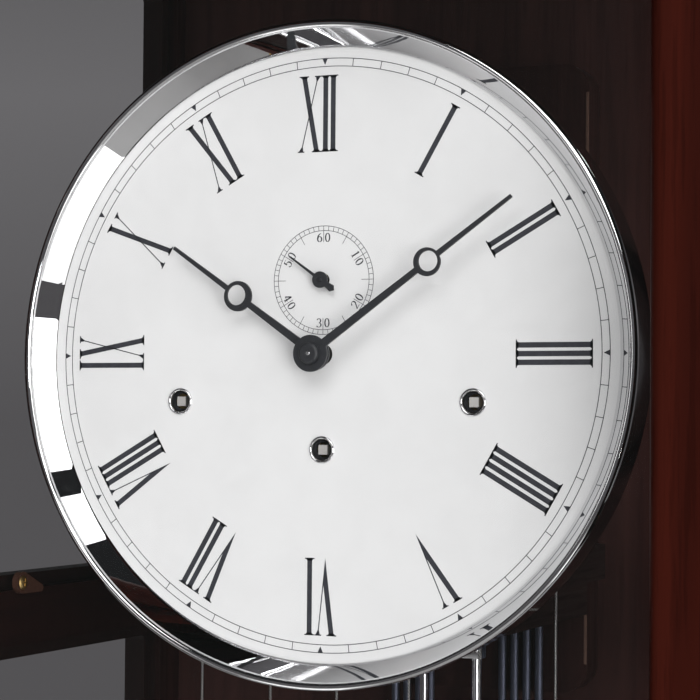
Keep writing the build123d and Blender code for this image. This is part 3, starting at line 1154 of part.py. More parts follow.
with BuildPart() as chime_rods:
    for side in (-1, 1):
        for index, place in enumerate(ROD_PLACES):
            with BuildSketch(Plane.XY.offset(CHIME_BLOCK_LOW)):
                with Locations((side * place, CHIME_ROD_Y)):
                    Circle(CHIME_ROD_RADIUS)
            steps = index if side > 0 else index + CHIME_RODS_A_SIDE
            extrude(amount=steps * CHIME_ROD_STEP - CHIME_ROD_LONGEST)
write(chime_rods, "chime_rods")

# Hammer rail: a pivot rod between two cheeks on the back pad
HAMMER_PIVOT_Y = PAD_FRONT_Y - HAMMER_PIVOT_AHEAD
PIVOT_HEIGHT = DIAL_HEIGHT + HAMMER_PIVOT_Z
RAIL_HALF = ROD_PLACES[-1] + CHIME_BLOCK_MARGIN
with BuildPart() as hammer_rail:
    for side in (-1, 1):
        block(side * RAIL_HALF, side * (RAIL_HALF + RAIL_CHEEK_THICKNESS),
              PAD_FRONT_Y - RAIL_CHEEK_REACH, PAD_FRONT_Y,
              PIVOT_HEIGHT - RAIL_CHEEK_HEIGHT / 2, PIVOT_HEIGHT + RAIL_CHEEK_HEIGHT / 2)
    with BuildSketch(Plane.YZ.offset(-RAIL_HALF)):
        with Locations((HAMMER_PIVOT_Y, PIVOT_HEIGHT)):
            Circle(HAMMER_PIVOT_RADIUS)
    extrude(amount=2 * RAIL_HALF)
write(hammer_rail, "hammer_rail")


def hammer(x):
    """Add one hammer that hangs from the rail in front of its rod."""
    head_back = CHIME_ROD_Y - CHIME_ROD_RADIUS - HAMMER_ROD_GAP
    head_z = DIAL_HEIGHT + HAMMER_HEAD_Z
    arm_y = HAMMER_PIVOT_Y - HAMMER_ARM_LEAN
    half_arm = HAMMER_ARM_WIDTH / 2
    with BuildSketch(Plane.YZ.offset(x - HAMMER_WIDTH / 2)) as face:
        with Locations((HAMMER_PIVOT_Y, PIVOT_HEIGHT)):
            Circle(HAMMER_BOSS_RADIUS)
        outline((HAMMER_PIVOT_Y - half_arm, PIVOT_HEIGHT), (HAMMER_PIVOT_Y + half_arm, PIVOT_HEIGHT),
                (arm_y + half_arm, head_z), (arm_y - half_arm, head_z))
        span(head_back - HAMMER_HEAD_LENGTH, head_back,
             head_z - HAMMER_HEAD_HEIGHT / 2, head_z + HAMMER_HEAD_HEIGHT / 2)
        with Locations((HAMMER_PIVOT_Y, PIVOT_HEIGHT)):
            Circle(HAMMER_PIVOT_RADIUS + RUNNING_CLEARANCE, mode=Mode.SUBTRACT)
    extrude(face.sketch, amount=HAMMER_WIDTH)


# Hour hammers that fall together, and one hammer for each melody rod
with BuildPart() as strike_hammers:
    for place in ROD_PLACES:
        hammer(-place)
write(strike_hammers, "strike_hammers")

for index, place in enumerate(ROD_PLACES):
    with BuildPart() as chime_hammer:
        hammer(place)
    write(chime_hammer, f"chime_hammer_{index + 1}")
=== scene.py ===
"""Looks of a glazed mahogany floor clock with a chrome-framed dial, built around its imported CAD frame."""

import json
import logging
import math
from dataclasses import dataclass
from enum import Enum
from typing import Iterable, Mapping, Sequence

import bmesh
import bpy
from mathutils import Matrix, Vector

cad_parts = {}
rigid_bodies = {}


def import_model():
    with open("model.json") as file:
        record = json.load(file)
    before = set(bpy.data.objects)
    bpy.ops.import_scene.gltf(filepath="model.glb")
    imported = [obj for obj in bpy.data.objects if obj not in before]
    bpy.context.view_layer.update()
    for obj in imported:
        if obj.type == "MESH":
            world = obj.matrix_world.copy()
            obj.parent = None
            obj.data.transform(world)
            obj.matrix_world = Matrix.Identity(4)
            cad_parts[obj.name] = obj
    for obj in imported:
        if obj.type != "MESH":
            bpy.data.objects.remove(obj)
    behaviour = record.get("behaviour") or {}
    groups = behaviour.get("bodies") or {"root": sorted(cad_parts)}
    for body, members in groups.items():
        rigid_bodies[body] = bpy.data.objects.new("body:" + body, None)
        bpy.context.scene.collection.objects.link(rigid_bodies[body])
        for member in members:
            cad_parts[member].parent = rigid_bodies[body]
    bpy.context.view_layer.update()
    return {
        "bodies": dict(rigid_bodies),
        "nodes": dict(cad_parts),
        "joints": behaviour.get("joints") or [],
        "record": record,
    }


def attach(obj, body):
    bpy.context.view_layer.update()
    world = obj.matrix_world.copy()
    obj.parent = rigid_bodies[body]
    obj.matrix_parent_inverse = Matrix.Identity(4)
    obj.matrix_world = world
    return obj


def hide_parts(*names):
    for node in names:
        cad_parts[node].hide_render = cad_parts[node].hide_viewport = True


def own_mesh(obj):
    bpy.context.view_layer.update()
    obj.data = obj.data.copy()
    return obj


LOG = logging.getLogger("floor_clock")
BMesh = bmesh.types.BMesh
Socket = bpy.types.NodeSocket
Point2 = tuple[float, float]
Profile = tuple[Point2, ...]
Triple = tuple[float, float, float]
Colour = Triple
Box = tuple[Triple, Triple, float]

MM = 0.001
WELD = 1e-7
IMAGE_SIDE = 700.0
DIAL_Y = -61.0
DIAL_Z = 1600.0
SECONDS_RISE = 32.5
CABLE_Y = -2.0
CABLE_RADIUS = 0.6
CABLE_WRAP = 18.0
CABLE_SIDES = 10
PENDULUM_Y = 99.0
FRONT = Vector((0, -1, 0))
BACK = -FRONT
UP = Vector((0, 0, 1))
RIGHT = Vector((1, 0, 0))
SIDES = (-1, 1)
TRAINS: dict[str, Point2] = {"strike": (-70.0, -20.7), "time": (0.0, -41.7), "chime": (70.0, -20.7)}


def at(x: float, y: float, z: float) -> Vector:
    """Place in the row frame, in metres, from millimetres."""
    return Vector((x, y, z)) * MM


def on_dial(x: float = 0.0, rise: float = 0.0) -> Vector:
    """Place on the dial's face in metres, from millimetres right of and above its centre."""
    return at(x, DIAL_Y, DIAL_Z + rise)


def dial_matrix(rise: float = 0.0, clockwise: float = 0.0) -> Matrix:
    """Matrix from a flat drawing in millimetres to the dial.

    Args:
        rise: Place of the drawing's origin, above the dial centre.
        clockwise: Turn of the drawing in degrees, clockwise from the front.

    Returns:
        The matrix, in which the drawing's y is up and its z points to the front.
    """
    stand = Matrix.Rotation(math.radians(90), 4, "X")
    turn = Matrix.Rotation(math.radians(-clockwise), 4, "Z")
    return Matrix.Translation(on_dial(0.0, rise)) @ stand @ turn @ Matrix.Scale(MM, 4)


def arc(start: Point2, through: Point2, end: Point2, steps: int) -> list[Point2]:
    """Points of the arc through three points.

    Args:
        start: First point.
        through: A point on the arc.
        end: Last point.
        steps: Number of pieces of the arc.

    Returns:
        The points, with both ends.
    """
    (ax, ay), (bx, by), (cx, cy) = start, through, end
    area = 2 * (ax * (by - cy) + bx * (cy - ay) + cx * (ay - by))
    sa, sb, sc = ax**2 + ay**2, bx**2 + by**2, cx**2 + cy**2
    ox = (sa * (by - cy) + sb * (cy - ay) + sc * (ay - by)) / area
    oy = (sa * (cx - bx) + sb * (ax - cx) + sc * (bx - ax)) / area
    radius = math.hypot(ax - ox, ay - oy)
    first = math.atan2(ay - oy, ax - ox)
    full = 2 * math.pi
    middle = (math.atan2(by - oy, bx - ox) - first) % full
    sweep = (math.atan2(cy - oy, cx - ox) - first) % full
    if middle > sweep:
        sweep -= full
    angles = [first + sweep * i / steps for i in range(steps + 1)]
    return [(ox + radius * math.cos(a), oy + radius * math.sin(a)) for a in angles]


def add_turned(bm: BMesh, profile: Sequence[Point2], origin: Vector, axis: Vector, steps: int,
               closed: bool = False) -> None:
    """Spin a profile about an axis.

    Args:
        bm: Mesh that gets the shape.
        profile: Radius and distance along the axis of each point, in millimetres.
        origin: A point of the axis, in metres.
        axis: Direction of the axis.
        steps: Faces round the axis.
        closed: Whether the last point joins the first.
    """
    radial = axis.orthogonal().normalized()
    verts = [bm.verts.new(origin + (radial * r + axis * h) * MM) for r, h in profile]
    pairs = list(zip(verts, verts[1:]))
    if closed:
        pairs.append((verts[-1], verts[0]))
    edges = [bm.edges.new(pair) for pair in pairs]
    bmesh.ops.spin(bm, geom=verts + edges, cent=origin, axis=axis, dvec=(0, 0, 0),
                   angle=2 * math.pi, steps=steps, use_merge=True)


def add_rod(bm: BMesh, start: Vector, end: Vector, radius: float, edge: float = 0.3) -> None:
    """Add a round rod with softened ends, from one place to another; radius and edge are in millimetres."""
    axis = (end - start).normalized()
    length = (end - start).length / MM
    foot = [(0, 0), (radius - edge, 0), (radius, edge)]
    head = [(radius, length - edge), (radius - edge, length), (0, length)]
    add_turned(bm, foot + head, start, axis, 32)


def add_boxes(bm: BMesh, boxes: Iterable[Box], origin: Triple = (0.0, 0.0, 0.0)) -> None:
    """Add boxes with softened edges.

    Args:
        bm: Mesh that gets the boxes.
        boxes: Two corners of each box, from the origin, and the size of its soft edges, in millimetres.
        origin: Where the corners are measured from, in millimetres.
    """
    for *corners, edge in boxes:
        near, far = (at(*(start + step for start, step in zip(origin, corner))) for corner in corners)
        place = Matrix.Translation((near + far) / 2) @ Matrix.Diagonal((*(far - near), 1))
        made = bmesh.ops.create_cube(bm, size=1.0, matrix=place)
        edges = list(dict.fromkeys(e for v in made["verts"] for e in v.link_edges))
        bmesh.ops.bevel(bm, geom=edges, offset=edge * MM, affect="EDGES", segments=2, profile=0.5, material=-1)


def add_outline(bm: BMesh, points: Sequence[Point2], matrix: Matrix, depth: float) -> None:
    """Add a flat shape with a thickness.

    Args:
        bm: Mesh that gets the shape.
        points: Corners in the drawing, in millimetres.
        matrix: Where the drawing lies.
        depth: Thickness towards the front of the drawing, in millimetres.
    """
    face = bm.faces.new([bm.verts.new(matrix @ Vector((x, y, 0))) for x, y in points])
    lifted = bmesh.ops.extrude_face_region(bm, geom=[face])
    moved = [g for g in lifted["geom"] if isinstance(g, bmesh.types.BMVert)]
    bmesh.ops.translate(bm, verts=moved, vec=matrix.to_3x3() @ Vector((0, 0, depth)))


def add_ring(bm: BMesh, radius: float, width: float, matrix: Matrix, depth: float, steps: int) -> None:
    """Add a flat printed ring of a mean radius and width, in millimetres."""
    axis = (matrix.to_3x3() @ Vector((0, 0, 1))).normalized()
    inner, outer = radius - width / 2, radius + width / 2
    profile = [(inner, 0), (outer, 0), (outer, depth), (inner, depth)]
    add_turned(bm, profile, matrix.translation.copy(), axis, steps, closed=True)


def add_ribbon(bm: BMesh, path: Sequence[Point2], widths: Point2, matrix: Matrix, depth: float) -> None:
    """Add a pen stroke along a path, broad where it runs up and down and fine where it runs across.

    Args:
        bm: Mesh that gets the stroke.
        path: Middle line of the stroke, in millimetres.
        widths: Width where it runs across, and where it runs up and down.
        matrix: Where the drawing lies.
        depth: Thickness towards the front of the drawing.
    """
    thin, thick = widths
    sides: list[tuple[Point2, Point2]] = []
    for index, (x, y) in enumerate(path):
        before, after = path[max(index - 1, 0)], path[min(index + 1, len(path) - 1)]
        dx, dy = after[0] - before[0], after[1] - before[1]
        length = math.hypot(dx, dy)
        half = (thin + (thick - thin) * abs(dy / length) ** 1.5) / 2
        over, up = dy / length * half, dx / length * half
        sides.append(((x - over, y + up), (x + over, y - up)))
    for (left, right), (next_left, next_right) in zip(sides, sides[1:]):
        add_outline(bm, [left, right, next_right, next_left], matrix, depth)


def finish_piece(bm: BMesh, name: str, finish: "Finish", body: str, stands_for: Iterable[str] = (),
                 sharp: float = 32.0) -> bpy.types.Object:
    """Turn a mesh into a piece of the clock.

    Args:
        bm: The shape, which is used up.
        name: Name of the piece.
        finish: Its finish.
        body: CAD body that it moves with.
        stands_for: CAD nodes that it replaces.
        sharp: Angle in degrees above which an edge stays crisp.

    Returns:
        The new object.
    """
    bmesh.ops.remove_doubles(bm, verts=bm.verts, dist=WELD)
    bmesh.ops.dissolve_degenerate(bm, edges=bm.edges, dist=WELD)
    bmesh.ops.recalc_face_normals(bm, faces=bm.faces)
    limit = math.radians(sharp)
    for face in bm.faces:
        face.smooth = True
    for edge in bm.edges:
        edge.smooth = len(edge.link_faces) == 2 and edge.calc_face_angle(0.0) < limit
    mesh = bpy.data.meshes.new(name)
    bm.to_mesh(mesh)
    bm.free()
    mesh.materials.append(finish.material())
    piece = bpy.data.objects.new(name, mesh)
    bpy.context.scene.collection.objects.link(piece)
    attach(piece, body)
    nodes = list(stands_for)
    if nodes:
        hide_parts(*nodes)
    LOG.info("made %s with %d faces on %s", name, len(mesh.polygons), body)
    return piece


def add_node(tree: bpy.types.NodeTree, kind: str, sources: Mapping[str | int, Socket],
             setup: Mapping[str, str] | None = None, **values: object) -> bpy.types.Node:
    """Add a shader node to a tree.

    Args:
        tree: Tree that gets the node.
        kind: Kind of shader node.
        sources: Sockets that feed the node's inputs, by name or number.
        setup: Settings of the node itself.
        values: Values of other inputs, with the spaces in their names written as underscores.

    Returns:
        The node.
    """
    node = tree.nodes.new(f"ShaderNode{kind}")
    for key, choice in (setup or {}).items():
        setattr(node, key, choice)
    for key, source in sources.items():
        tree.links.new(source, node.inputs[key])
    for key, value in values.items():
        node.inputs[key.replace("_", " ")].default_value = value
    return node


def add_ramp(tree: bpy.types.NodeTree, factor: Socket, stops: Sequence[tuple[float, Colour]]) -> Socket:
    """Add a colour ramp over a factor.

    Args:
        tree: Tree that gets the ramp.
        factor: Socket that the ramp reads.
        stops: Place and colour of each stop.

    Returns:
        The colour socket.
    """
    node = add_node(tree, "ValToRGB", {"Fac": factor})
    elements = node.color_ramp.elements
    while len(elements) < len(stops):
        elements.new(0.5)
    for element, (place, colour) in zip(elements, stops):
        element.position = place
        element.color = (*colour, 1.0)
    return node.outputs["Color"]


class NodeSheet:
    """A node material that is put together step by step."""

    def __init__(self, name: str) -> None:
        """Start a material with one principled shader."""
        self.material = bpy.data.materials.new(name)
        self.material.use_nodes = True
        self.tree = self.material.node_tree
        self.tree.nodes.clear()
        self.shader = add_node(self.tree, "BsdfPrincipled", {})
        add_node(self.tree, "OutputMaterial", {"Surface": self.shader.outputs["BSDF"]})
        self.coords = add_node(self.tree, "TexCoord", {}).outputs["Object"]

    def set(self, **values: object) -> None:
        """Set shader sockets by name, with spaces written as underscores."""
        for key, value in values.items():
            self.shader.inputs[key.replace("_", " ")].default_value = value

    def feed(self, socket: str, source: Socket) -> None:
        """Link a source to a socket of the shader."""
        self.tree.links.new(source, self.shader.inputs[socket])

    def axis(self, name: str) -> Socket:
        """One of the object coordinates."""
        return add_node(self.tree, "SeparateXYZ", {"Vector": self.coords}).outputs[name]

    def stretch(self, scale: Sequence[float]) -> Socket:
        """Object coordinates, scaled along each axis."""
        return add_node(self.tree, "Mapping", {"Vector": self.coords}, Scale=scale).outputs["Vector"]

    def noise(self, vector: Socket, scale: float, detail: float, rough: float = 0.55,
              distortion: float = 0.0) -> Socket:
        """Noise between 0 and 1 over a vector."""
        node = add_node(self.tree, "TexNoise", {"Vector": vector}, Scale=scale, Detail=detail, Roughness=rough,
                        Distortion=distortion)
        return node.outputs["Fac"]

    def shade(self, factor: Socket, colour: Colour, share: float, places: Point2 = (0.35, 0.65)) -> Socket:
        """Colour that sinks to a share of itself where a factor is low, between two places of the factor."""
        deep = tuple(c * share for c in colour)
        return add_ramp(self.tree, factor, [(places[0], deep), (places[1], colour)])

    def spread(self, factor: Socket, low: float, high: float, from_low: float = 0.3, from_high: float = 0.7) -> Socket:
        """Map a factor to a range of values."""
        node = add_node(self.tree, "MapRange", {"Value": factor}, From_Min=from_low, From_Max=from_high, To_Min=low,
                        To_Max=high)
        return node.outputs["Result"]

    def multiply(self, first: Socket, second: Socket) -> Socket:
        """Product of two colours."""
        setup = {"data_type": "RGBA", "blend_type": "MULTIPLY"}
        return add_node(self.tree, "Mix", {"A": first, "B": second}, setup, Factor=1.0).outputs["Result"]

    def blend(self, factor: Socket, first: Socket, second: Socket) -> Socket:
        """Blend from one colour to another by a factor."""
        sources = {"Factor": factor, "A": first, "B": second}
        return add_node(self.tree, "Mix", sources, {"data_type": "RGBA"}).outputs["Result"]

    def sum_up(self, operation: str, first: Socket, second: Socket) -> Socket:
        """Result of a sum with two values."""
        return add_node(self.tree, "Math", {0: first, 1: second}, {"operation": operation}).outputs["Value"]

    def bump(self, height: Socket, strength: float, distance: float) -> None:
        """Raise the surface by a height."""
        node = add_node(self.tree, "Bump", {"Height": height}, Strength=strength, Distance=distance)
        self.feed("Normal", node.outputs["Normal"])


@dataclass(frozen=True)
class Finish:
    """A finish of the clock, made once and used by every piece that has it."""

    name: str

    def material(self) -> bpy.types.Material:
        """The finish's material, made at its first use."""
        made = bpy.data.materials.get(self.name)
        return made or self.mix()

    def mix(self) -> bpy.types.Material:
        """Make the material."""
        raise NotImplementedError


class Grain(Enum):
    """Direction in which the grain of a board runs, as the scale of its figure along each axis."""

    UPRIGHT = (1.0, 1.0, 0.045)
    ACROSS = (0.045, 1.0, 1.0)
    DEEP = (1.0, 0.045, 1.0)


@dataclass(frozen=True)
class Mahogany(Finish):
    """Stained and lacquered mahogany with pores and a ribbon figure."""

    grain: Grain = Grain.UPRIGHT
    dark: Colour = (0.013, 0.0030, 0.0022)
    light: Colour = (0.062, 0.0130, 0.0068)
    rails: tuple[Point2, ...] = ()
    rail_grain: Grain = Grain.ACROSS
    streak: float = 0.55
    sheen: float = 0.16
    coat: float = 0.05
    figure_scale: float = 26.0
    pore_scale: float = 420.0
    pore_depth: float = 0.0004
    joint: float = 0.0004

    def boards(self, sheet: NodeSheet, grain: Grain) -> tuple[Socket, Socket]:
        """Colour and pore height of boards with one grain direction.

        Args:
            sheet: Material at work.
            grain: Direction of the grain.

        Returns:
            The colour socket and the height socket.
        """
        vector = sheet.stretch(grain.value)
        figure = sheet.noise(vector, self.figure_scale, 6.0, 0.6, 0.9)
        middle = tuple((a + b) / 2.4 for a, b in zip(self.dark, self.light))
        colour = add_ramp(sheet.tree, figure, [(0.30, self.dark), (0.52, middle), (0.72, self.light)])
        pores = sheet.noise(vector, self.pore_scale, 3.0, 0.6)
        streaks = sheet.shade(pores, (1.0, 1.0, 1.0), self.streak, (0.38, 0.50))
        return sheet.multiply(colour, streaks), pores

    def rail_mask(self, sheet: NodeSheet) -> Socket:
        """Factor that is one between the heights of each rail and nought elsewhere."""
        height = sheet.axis("Z")
        masks = []
        for low, high in self.rails:
            above = sheet.spread(height, 0.0, 1.0, low - self.joint, low + self.joint)
            below = sheet.spread(height, 1.0, 0.0, high - self.joint, high + self.joint)
            masks.append(sheet.sum_up("MINIMUM", above, below))
        whole = masks[0]
        for mask in masks[1:]:
            whole = sheet.sum_up("MAXIMUM", whole, mask)
        return whole

    def mix(self) -> bpy.types.Material:
        """Make the wood, with its rails running their own way where it is a frame."""
        sheet = NodeSheet(self.name)
        colour, pores = self.boards(sheet, self.grain)
        if self.rails:
            colour = sheet.blend(self.rail_mask(sheet), colour, self.boards(sheet, self.rail_grain)[0])
        sheet.feed("Base Color", colour)
        sheet.feed("Roughness", sheet.spread(pores, 0.52, 0.40))
        sheet.bump(pores, 0.12, self.pore_depth)
        sheet.set(Coat_Weight=self.coat, Coat_Roughness=0.16, IOR=1.45, Specular_IOR_Level=self.sheen)
        return sheet.material


@dataclass(frozen=True)
class Metal(Finish):
    """Metal with a base colour, a roughness and faint wiping marks."""

    colour: Colour = (0.8, 0.8, 0.81)
    rough: float = 0.05
    rough_spread: float = 0.03
    mark_scale: Triple = (30.0, 30.0, 30.0)
    bump: float = 0.0
    bump_depth: float = 0.0002

    def marks(self, sheet: NodeSheet) -> Socket:
        """Noise of the wiping marks."""
        return sheet.noise(sheet.stretch(self.mark_scale), 1.0, 5.0, 0.6)

    def mix(self) -> bpy.types.Material:
        """Make the metal."""
        sheet = NodeSheet(self.name)
        marks = self.marks(sheet)
        sheet.feed("Base Color", sheet.shade(marks, self.colour, 0.93))
        sheet.feed("Roughness", sheet.spread(marks, self.rough, self.rough + self.rough_spread))
        sheet.set(Metallic=1.0)
        if self.bump:
            sheet.bump(marks, self.bump, self.bump_depth)
        return sheet.material


@dataclass(frozen=True)
class Arbor(Metal):
    """Brass wheel or barrel on an arbor whose front end, ahead of a split, has a second colour."""

    tip: Colour = (0.9, 0.88, 0.84)
    tip_rough: float = 0.5
    split: float = -0.046
    split_half: float = 0.0005

    def mix(self) -> bpy.types.Material:
        """Make the brass, with the second colour in front of the split."""
        sheet = NodeSheet(self.name)
        marks = self.marks(sheet)
        brass, tip = (sheet.shade(marks, colour, 0.9) for colour in (self.colour, self.tip))
        ahead = sheet.spread(sheet.axis("Y"), 1.0, 0.0, self.split - self.split_half, self.split + self.split_half)
        sheet.feed("Base Color", sheet.blend(ahead, brass, tip))
        sheet.feed("Roughness", sheet.spread(ahead, self.rough, self.tip_rough, 0.0, 1.0))
        sheet.set(Metallic=1.0)
        return sheet.material


@dataclass(frozen=True)
class Paint(Finish):
    """Paint, ink or moulded plastic with a faint mottle."""

    colour: Colour = (0.8, 0.8, 0.8)
    mottle: float = 0.04
    rough: float = 0.45
    scale: float = 60.0
    grit: float = 0.0
    sheen: float = 0.5
    lacquer: float = 0.0
    rough_half: float = 0.04
    grit_scale: float = 2600.0
    grit_depth: float = 0.0001

    def mix(self) -> bpy.types.Material:
        """Make the paint."""
        sheet = NodeSheet(self.name)
        plain = sheet.stretch((1, 1, 1))
        cloud = sheet.noise(plain, self.scale, 5.0, 0.62, 0.6)
        sheet.feed("Base Color", sheet.shade(cloud, self.colour, 1 - self.mottle, (0.36, 0.60)))
        sheet.feed("Roughness", sheet.spread(cloud, self.rough + self.rough_half, self.rough - self.rough_half))
        sheet.set(Specular_IOR_Level=self.sheen, Coat_Weight=self.lacquer, Coat_Roughness=0.05)
        if self.grit:
            sheet.bump(sheet.noise(plain, self.grit_scale, 2.0), self.grit, self.grit_depth)
        return sheet.material


@dataclass(frozen=True)
class Glass(Finish):
    """Clear, clean glass that shows little more than its reflections."""

    alpha: float = 0.05
    colour: Colour = (0.03, 0.035, 0.034)

    def mix(self) -> bpy.types.Material:
        """Make the glass."""
        sheet = NodeSheet(self.name)
        smears = sheet.noise(sheet.stretch((3, 3, 1.2)), 4.0, 3.0)
        sheet.feed("Roughness", sheet.spread(smears, 0.01, 0.04))
        sheet.set(Base_Color=(*self.colour, 1.0), Alpha=self.alpha, IOR=1.5)
        return sheet.material


@dataclass(frozen=True)
class Stranded(Finish):
    """Twisted steel wire with diagonal strands."""

    colour: Colour = (0.52, 0.51, 0.50)
    strands: float = 420.0

    def mix(self) -> bpy.types.Material:
        """Make the wire."""
        sheet = NodeSheet(self.name)
        wave = add_node(sheet.tree, "TexWave", {"Vector": sheet.coords}, {"bands_direction": "DIAGONAL"},
                        Scale=self.strands, Distortion=0.4).outputs["Fac"]
        # The colour sinks to about a third in the grooves between strands, where the bump is low: painted shade.
        sheet.feed("Base Color", sheet.shade(wave, self.colour, 0.35, (0.15, 0.6)))
        sheet.bump(wave, 0.5, 0.0003)
        sheet.set(Metallic=1.0, Roughness=0.3)
        return sheet.material


ACROSS_WOOD = Mahogany("mahogany_across", Grain.ACROSS)
SHADE_WOOD = Mahogany("mahogany_shaded", Grain.DEEP, (0.0125, 0.0066, 0.0060), (0.0185, 0.0092, 0.0082),
                      streak=0.7, sheen=0.06, coat=0.0)
SIDE_WOOD = Mahogany("mahogany_side", Grain.UPRIGHT, (0.0085, 0.0031, 0.0028), (0.0190, 0.0062, 0.0052),
                     ((0.0, 0.230), (1.454, 1.495), (1.806, 2.0)), Grain.DEEP, streak=0.75, sheen=0.06, coat=0.03)
PAD_WOOD = Mahogany("mahogany_pad", Grain.UPRIGHT, (0.016, 0.0068, 0.0060), (0.026, 0.0105, 0.0090),
                    streak=0.8, sheen=0.05, coat=0.02)
# Lighter mahogany for the back pad's upright edges: its colour is a painted highlight along the lit edges.
EDGE_HIGHLIGHT_WOOD = Mahogany("mahogany_painted_edge_highlight", Grain.UPRIGHT, (0.070, 0.0400, 0.0310), (0.118, 0.0680, 0.0520),
                     streak=0.8, sheen=0.05, coat=0.02)
DOOR_WOOD = Mahogany("mahogany_door", Grain.UPRIGHT, (0.021, 0.0038, 0.0024), (0.048, 0.0078, 0.0044),
                     ((0.0, 0.228), (1.768, 2.0)), Grain.ACROSS, streak=0.75, sheen=0.02, coat=0.0)
BACK_WOOD = Mahogany("mahogany_back", Grain.UPRIGHT, (0.027, 0.0118, 0.0105), (0.043, 0.0180, 0.0155),
                     streak=0.8, sheen=0.05, coat=0.02)
BRASS_TONE: Colour = (0.80, 0.58, 0.24)
BRASS_MARKS: Triple = (40.0, 40.0, 400.0)
CHROME = Metal("polished_chrome", (0.82, 0.82, 0.83), 0.006, 0.014, (24, 24, 24))
SATIN_CHROME = Metal("satin_chrome", (0.74, 0.74, 0.75), 0.12, 0.08, (60, 60, 60))
BRASS = Metal("lacquered_brass", BRASS_TONE, 0.20, 0.12, BRASS_MARKS, 0.05)
AGED_BRASS = Metal("tarnished_brass", (0.52, 0.36, 0.14), 0.28, 0.16, (160, 160, 160), 0.08)
BARREL = Arbor("barrel_brass", BRASS_TONE, 0.20, 0.12, BRASS_MARKS)
# Brass whose front ends, seen in the dial's holes, are near black: painted shade of the holes.
SHADED_FRONT_BRASS = Arbor("brass_with_painted_shade_front", BRASS_TONE, 0.20, 0.12, BRASS_MARKS,
                         tip=(0.05, 0.045, 0.04), split=-0.052)
# Dark metal for the bezel's drum wall: its low colour is painted shade, standing for the dark case interior reflected
# in the wall.
SHADED_DRUM = Metal("drum_painted_shade", (0.20, 0.185, 0.185), 0.05, 0.05, (40, 40, 40))
STEEL = Metal("turned_steel", (0.56, 0.56, 0.57), 0.22, 0.12, (80, 900, 80), 0.05)
BLUED = Metal("blued_rod", (0.135, 0.145, 0.195), 0.44, 0.14, (120, 120, 30), 0.04)
IRON = Metal("cast_iron", (0.09, 0.09, 0.10), 0.45, 0.15, (300, 300, 300), 0.3)
DIAL_WHITE = Paint("dial_paint", (0.83, 0.83, 0.83), 0.035, 0.46, 45.0, 0.0, 0.4, 1.0)
INK = Paint("dial_ink", (0.040, 0.041, 0.050), 0.25, 0.55, 300.0, 0.0, 0.3)
HAND_BLACK = Paint("hand_paint", (0.021, 0.022, 0.026), 0.3, 0.42, 260.0, 0.05, 0.5)
SHADOW_BLACK = Paint("well_black", (0.006, 0.006, 0.007), 0.3, 0.7, 200.0, 0.0, 0.2)
BROWN_PLASTIC = Paint("clip_plastic", (0.058, 0.0250, 0.0165), 0.3, 0.40, 420.0, 0.12, 0.25)
RUBBER = Paint("pad_rubber", (0.018, 0.018, 0.019), 0.3, 0.8, 300.0, 0.2, 0.3)
CLEAR = Glass("clear_glass")
WIRE = Stranded("stranded_wire")


LETTER_STEPS: dict[str, float] = {"II": 3.65, "VI": 7.4, "XI": 7.3, "IX": 8.3}
NUMERAL_STARTS: dict[str, float] = {
    "XII": -6.85, "I": 0.1, "II": -1.2, "III": -3.4, "IIII": -5.35, "V": 0.3,
    "VI": -2.0, "VII": -3.4, "VIII": -4.6, "IX": -4.4, "X": -0.1, "XI": -3.25,
}


@dataclass(frozen=True)
class SerifFigure:
    """One figure of the seconds ring, drawn with a pen in a box one unit high."""

    figure: str
    height: float
    thick: float = 0.155
    thin: float = 0.05

    def bow(self, centre: Point2, reach: Point2, first: float, last: float) -> list[Point2]:
        """Points of a bow between two angles in degrees, with its reach across and up."""
        angles = [math.radians(first + (last - first) * i / 16) for i in range(17)]
        return [(centre[0] + reach[0] * math.cos(a), centre[1] + reach[1] * math.sin(a)) for a in angles]

    def paths(self) -> list[list[Point2]]:
        """Pen strokes of the figure."""
        strokes: dict[str, list[list[Point2]]] = {
            "0": [self.bow((0, 0), (0.25, 0.48), 90, 450)],
            "1": [[(0, -0.48), (0, 0.5)], [(0, 0.46), (-0.08, 0.40), (-0.17, 0.38)], [(-0.18, -0.48), (0.18, -0.48)]],
            "2": [self.bow((0, 0.22), (0.24, 0.26), 170, -35) + [(-0.27, -0.46)], [(-0.27, -0.44), (0.27, -0.44)]],
            "3": [self.bow((-0.02, 0.24), (0.22, 0.24), 160, -90), self.bow((-0.03, -0.24), (0.27, 0.24), 90, -160)],
            "4": [[(0.1, -0.48), (0.1, 0.48)], [(0.1, 0.48), (-0.29, -0.2)], [(-0.29, -0.2), (0.3, -0.2)],
                  [(-0.06, -0.48), (0.26, -0.48)]],
            "5": [[(-0.19, 0.44), (0.22, 0.44)], [(-0.2, 0.46), (-0.2, 0.04)],
                  self.bow((-0.02, -0.17), (0.26, 0.31), 135, -155)],
            "6": [self.bow((0, -0.18), (0.25, 0.30), 90, 450), self.bow((0.24, -0.16), (0.49, 0.64), 180, 100)],
        }
        return strokes[self.figure]

    def add(self, bm: BMesh, matrix: Matrix, depth: float) -> None:
        """Add the figure to the print."""
        for path in self.paths():
            scaled = [(x * self.height, y * self.height) for x, y in path]
            add_ribbon(bm, scaled, (self.thin * self.height, self.thick * self.height), matrix, depth)


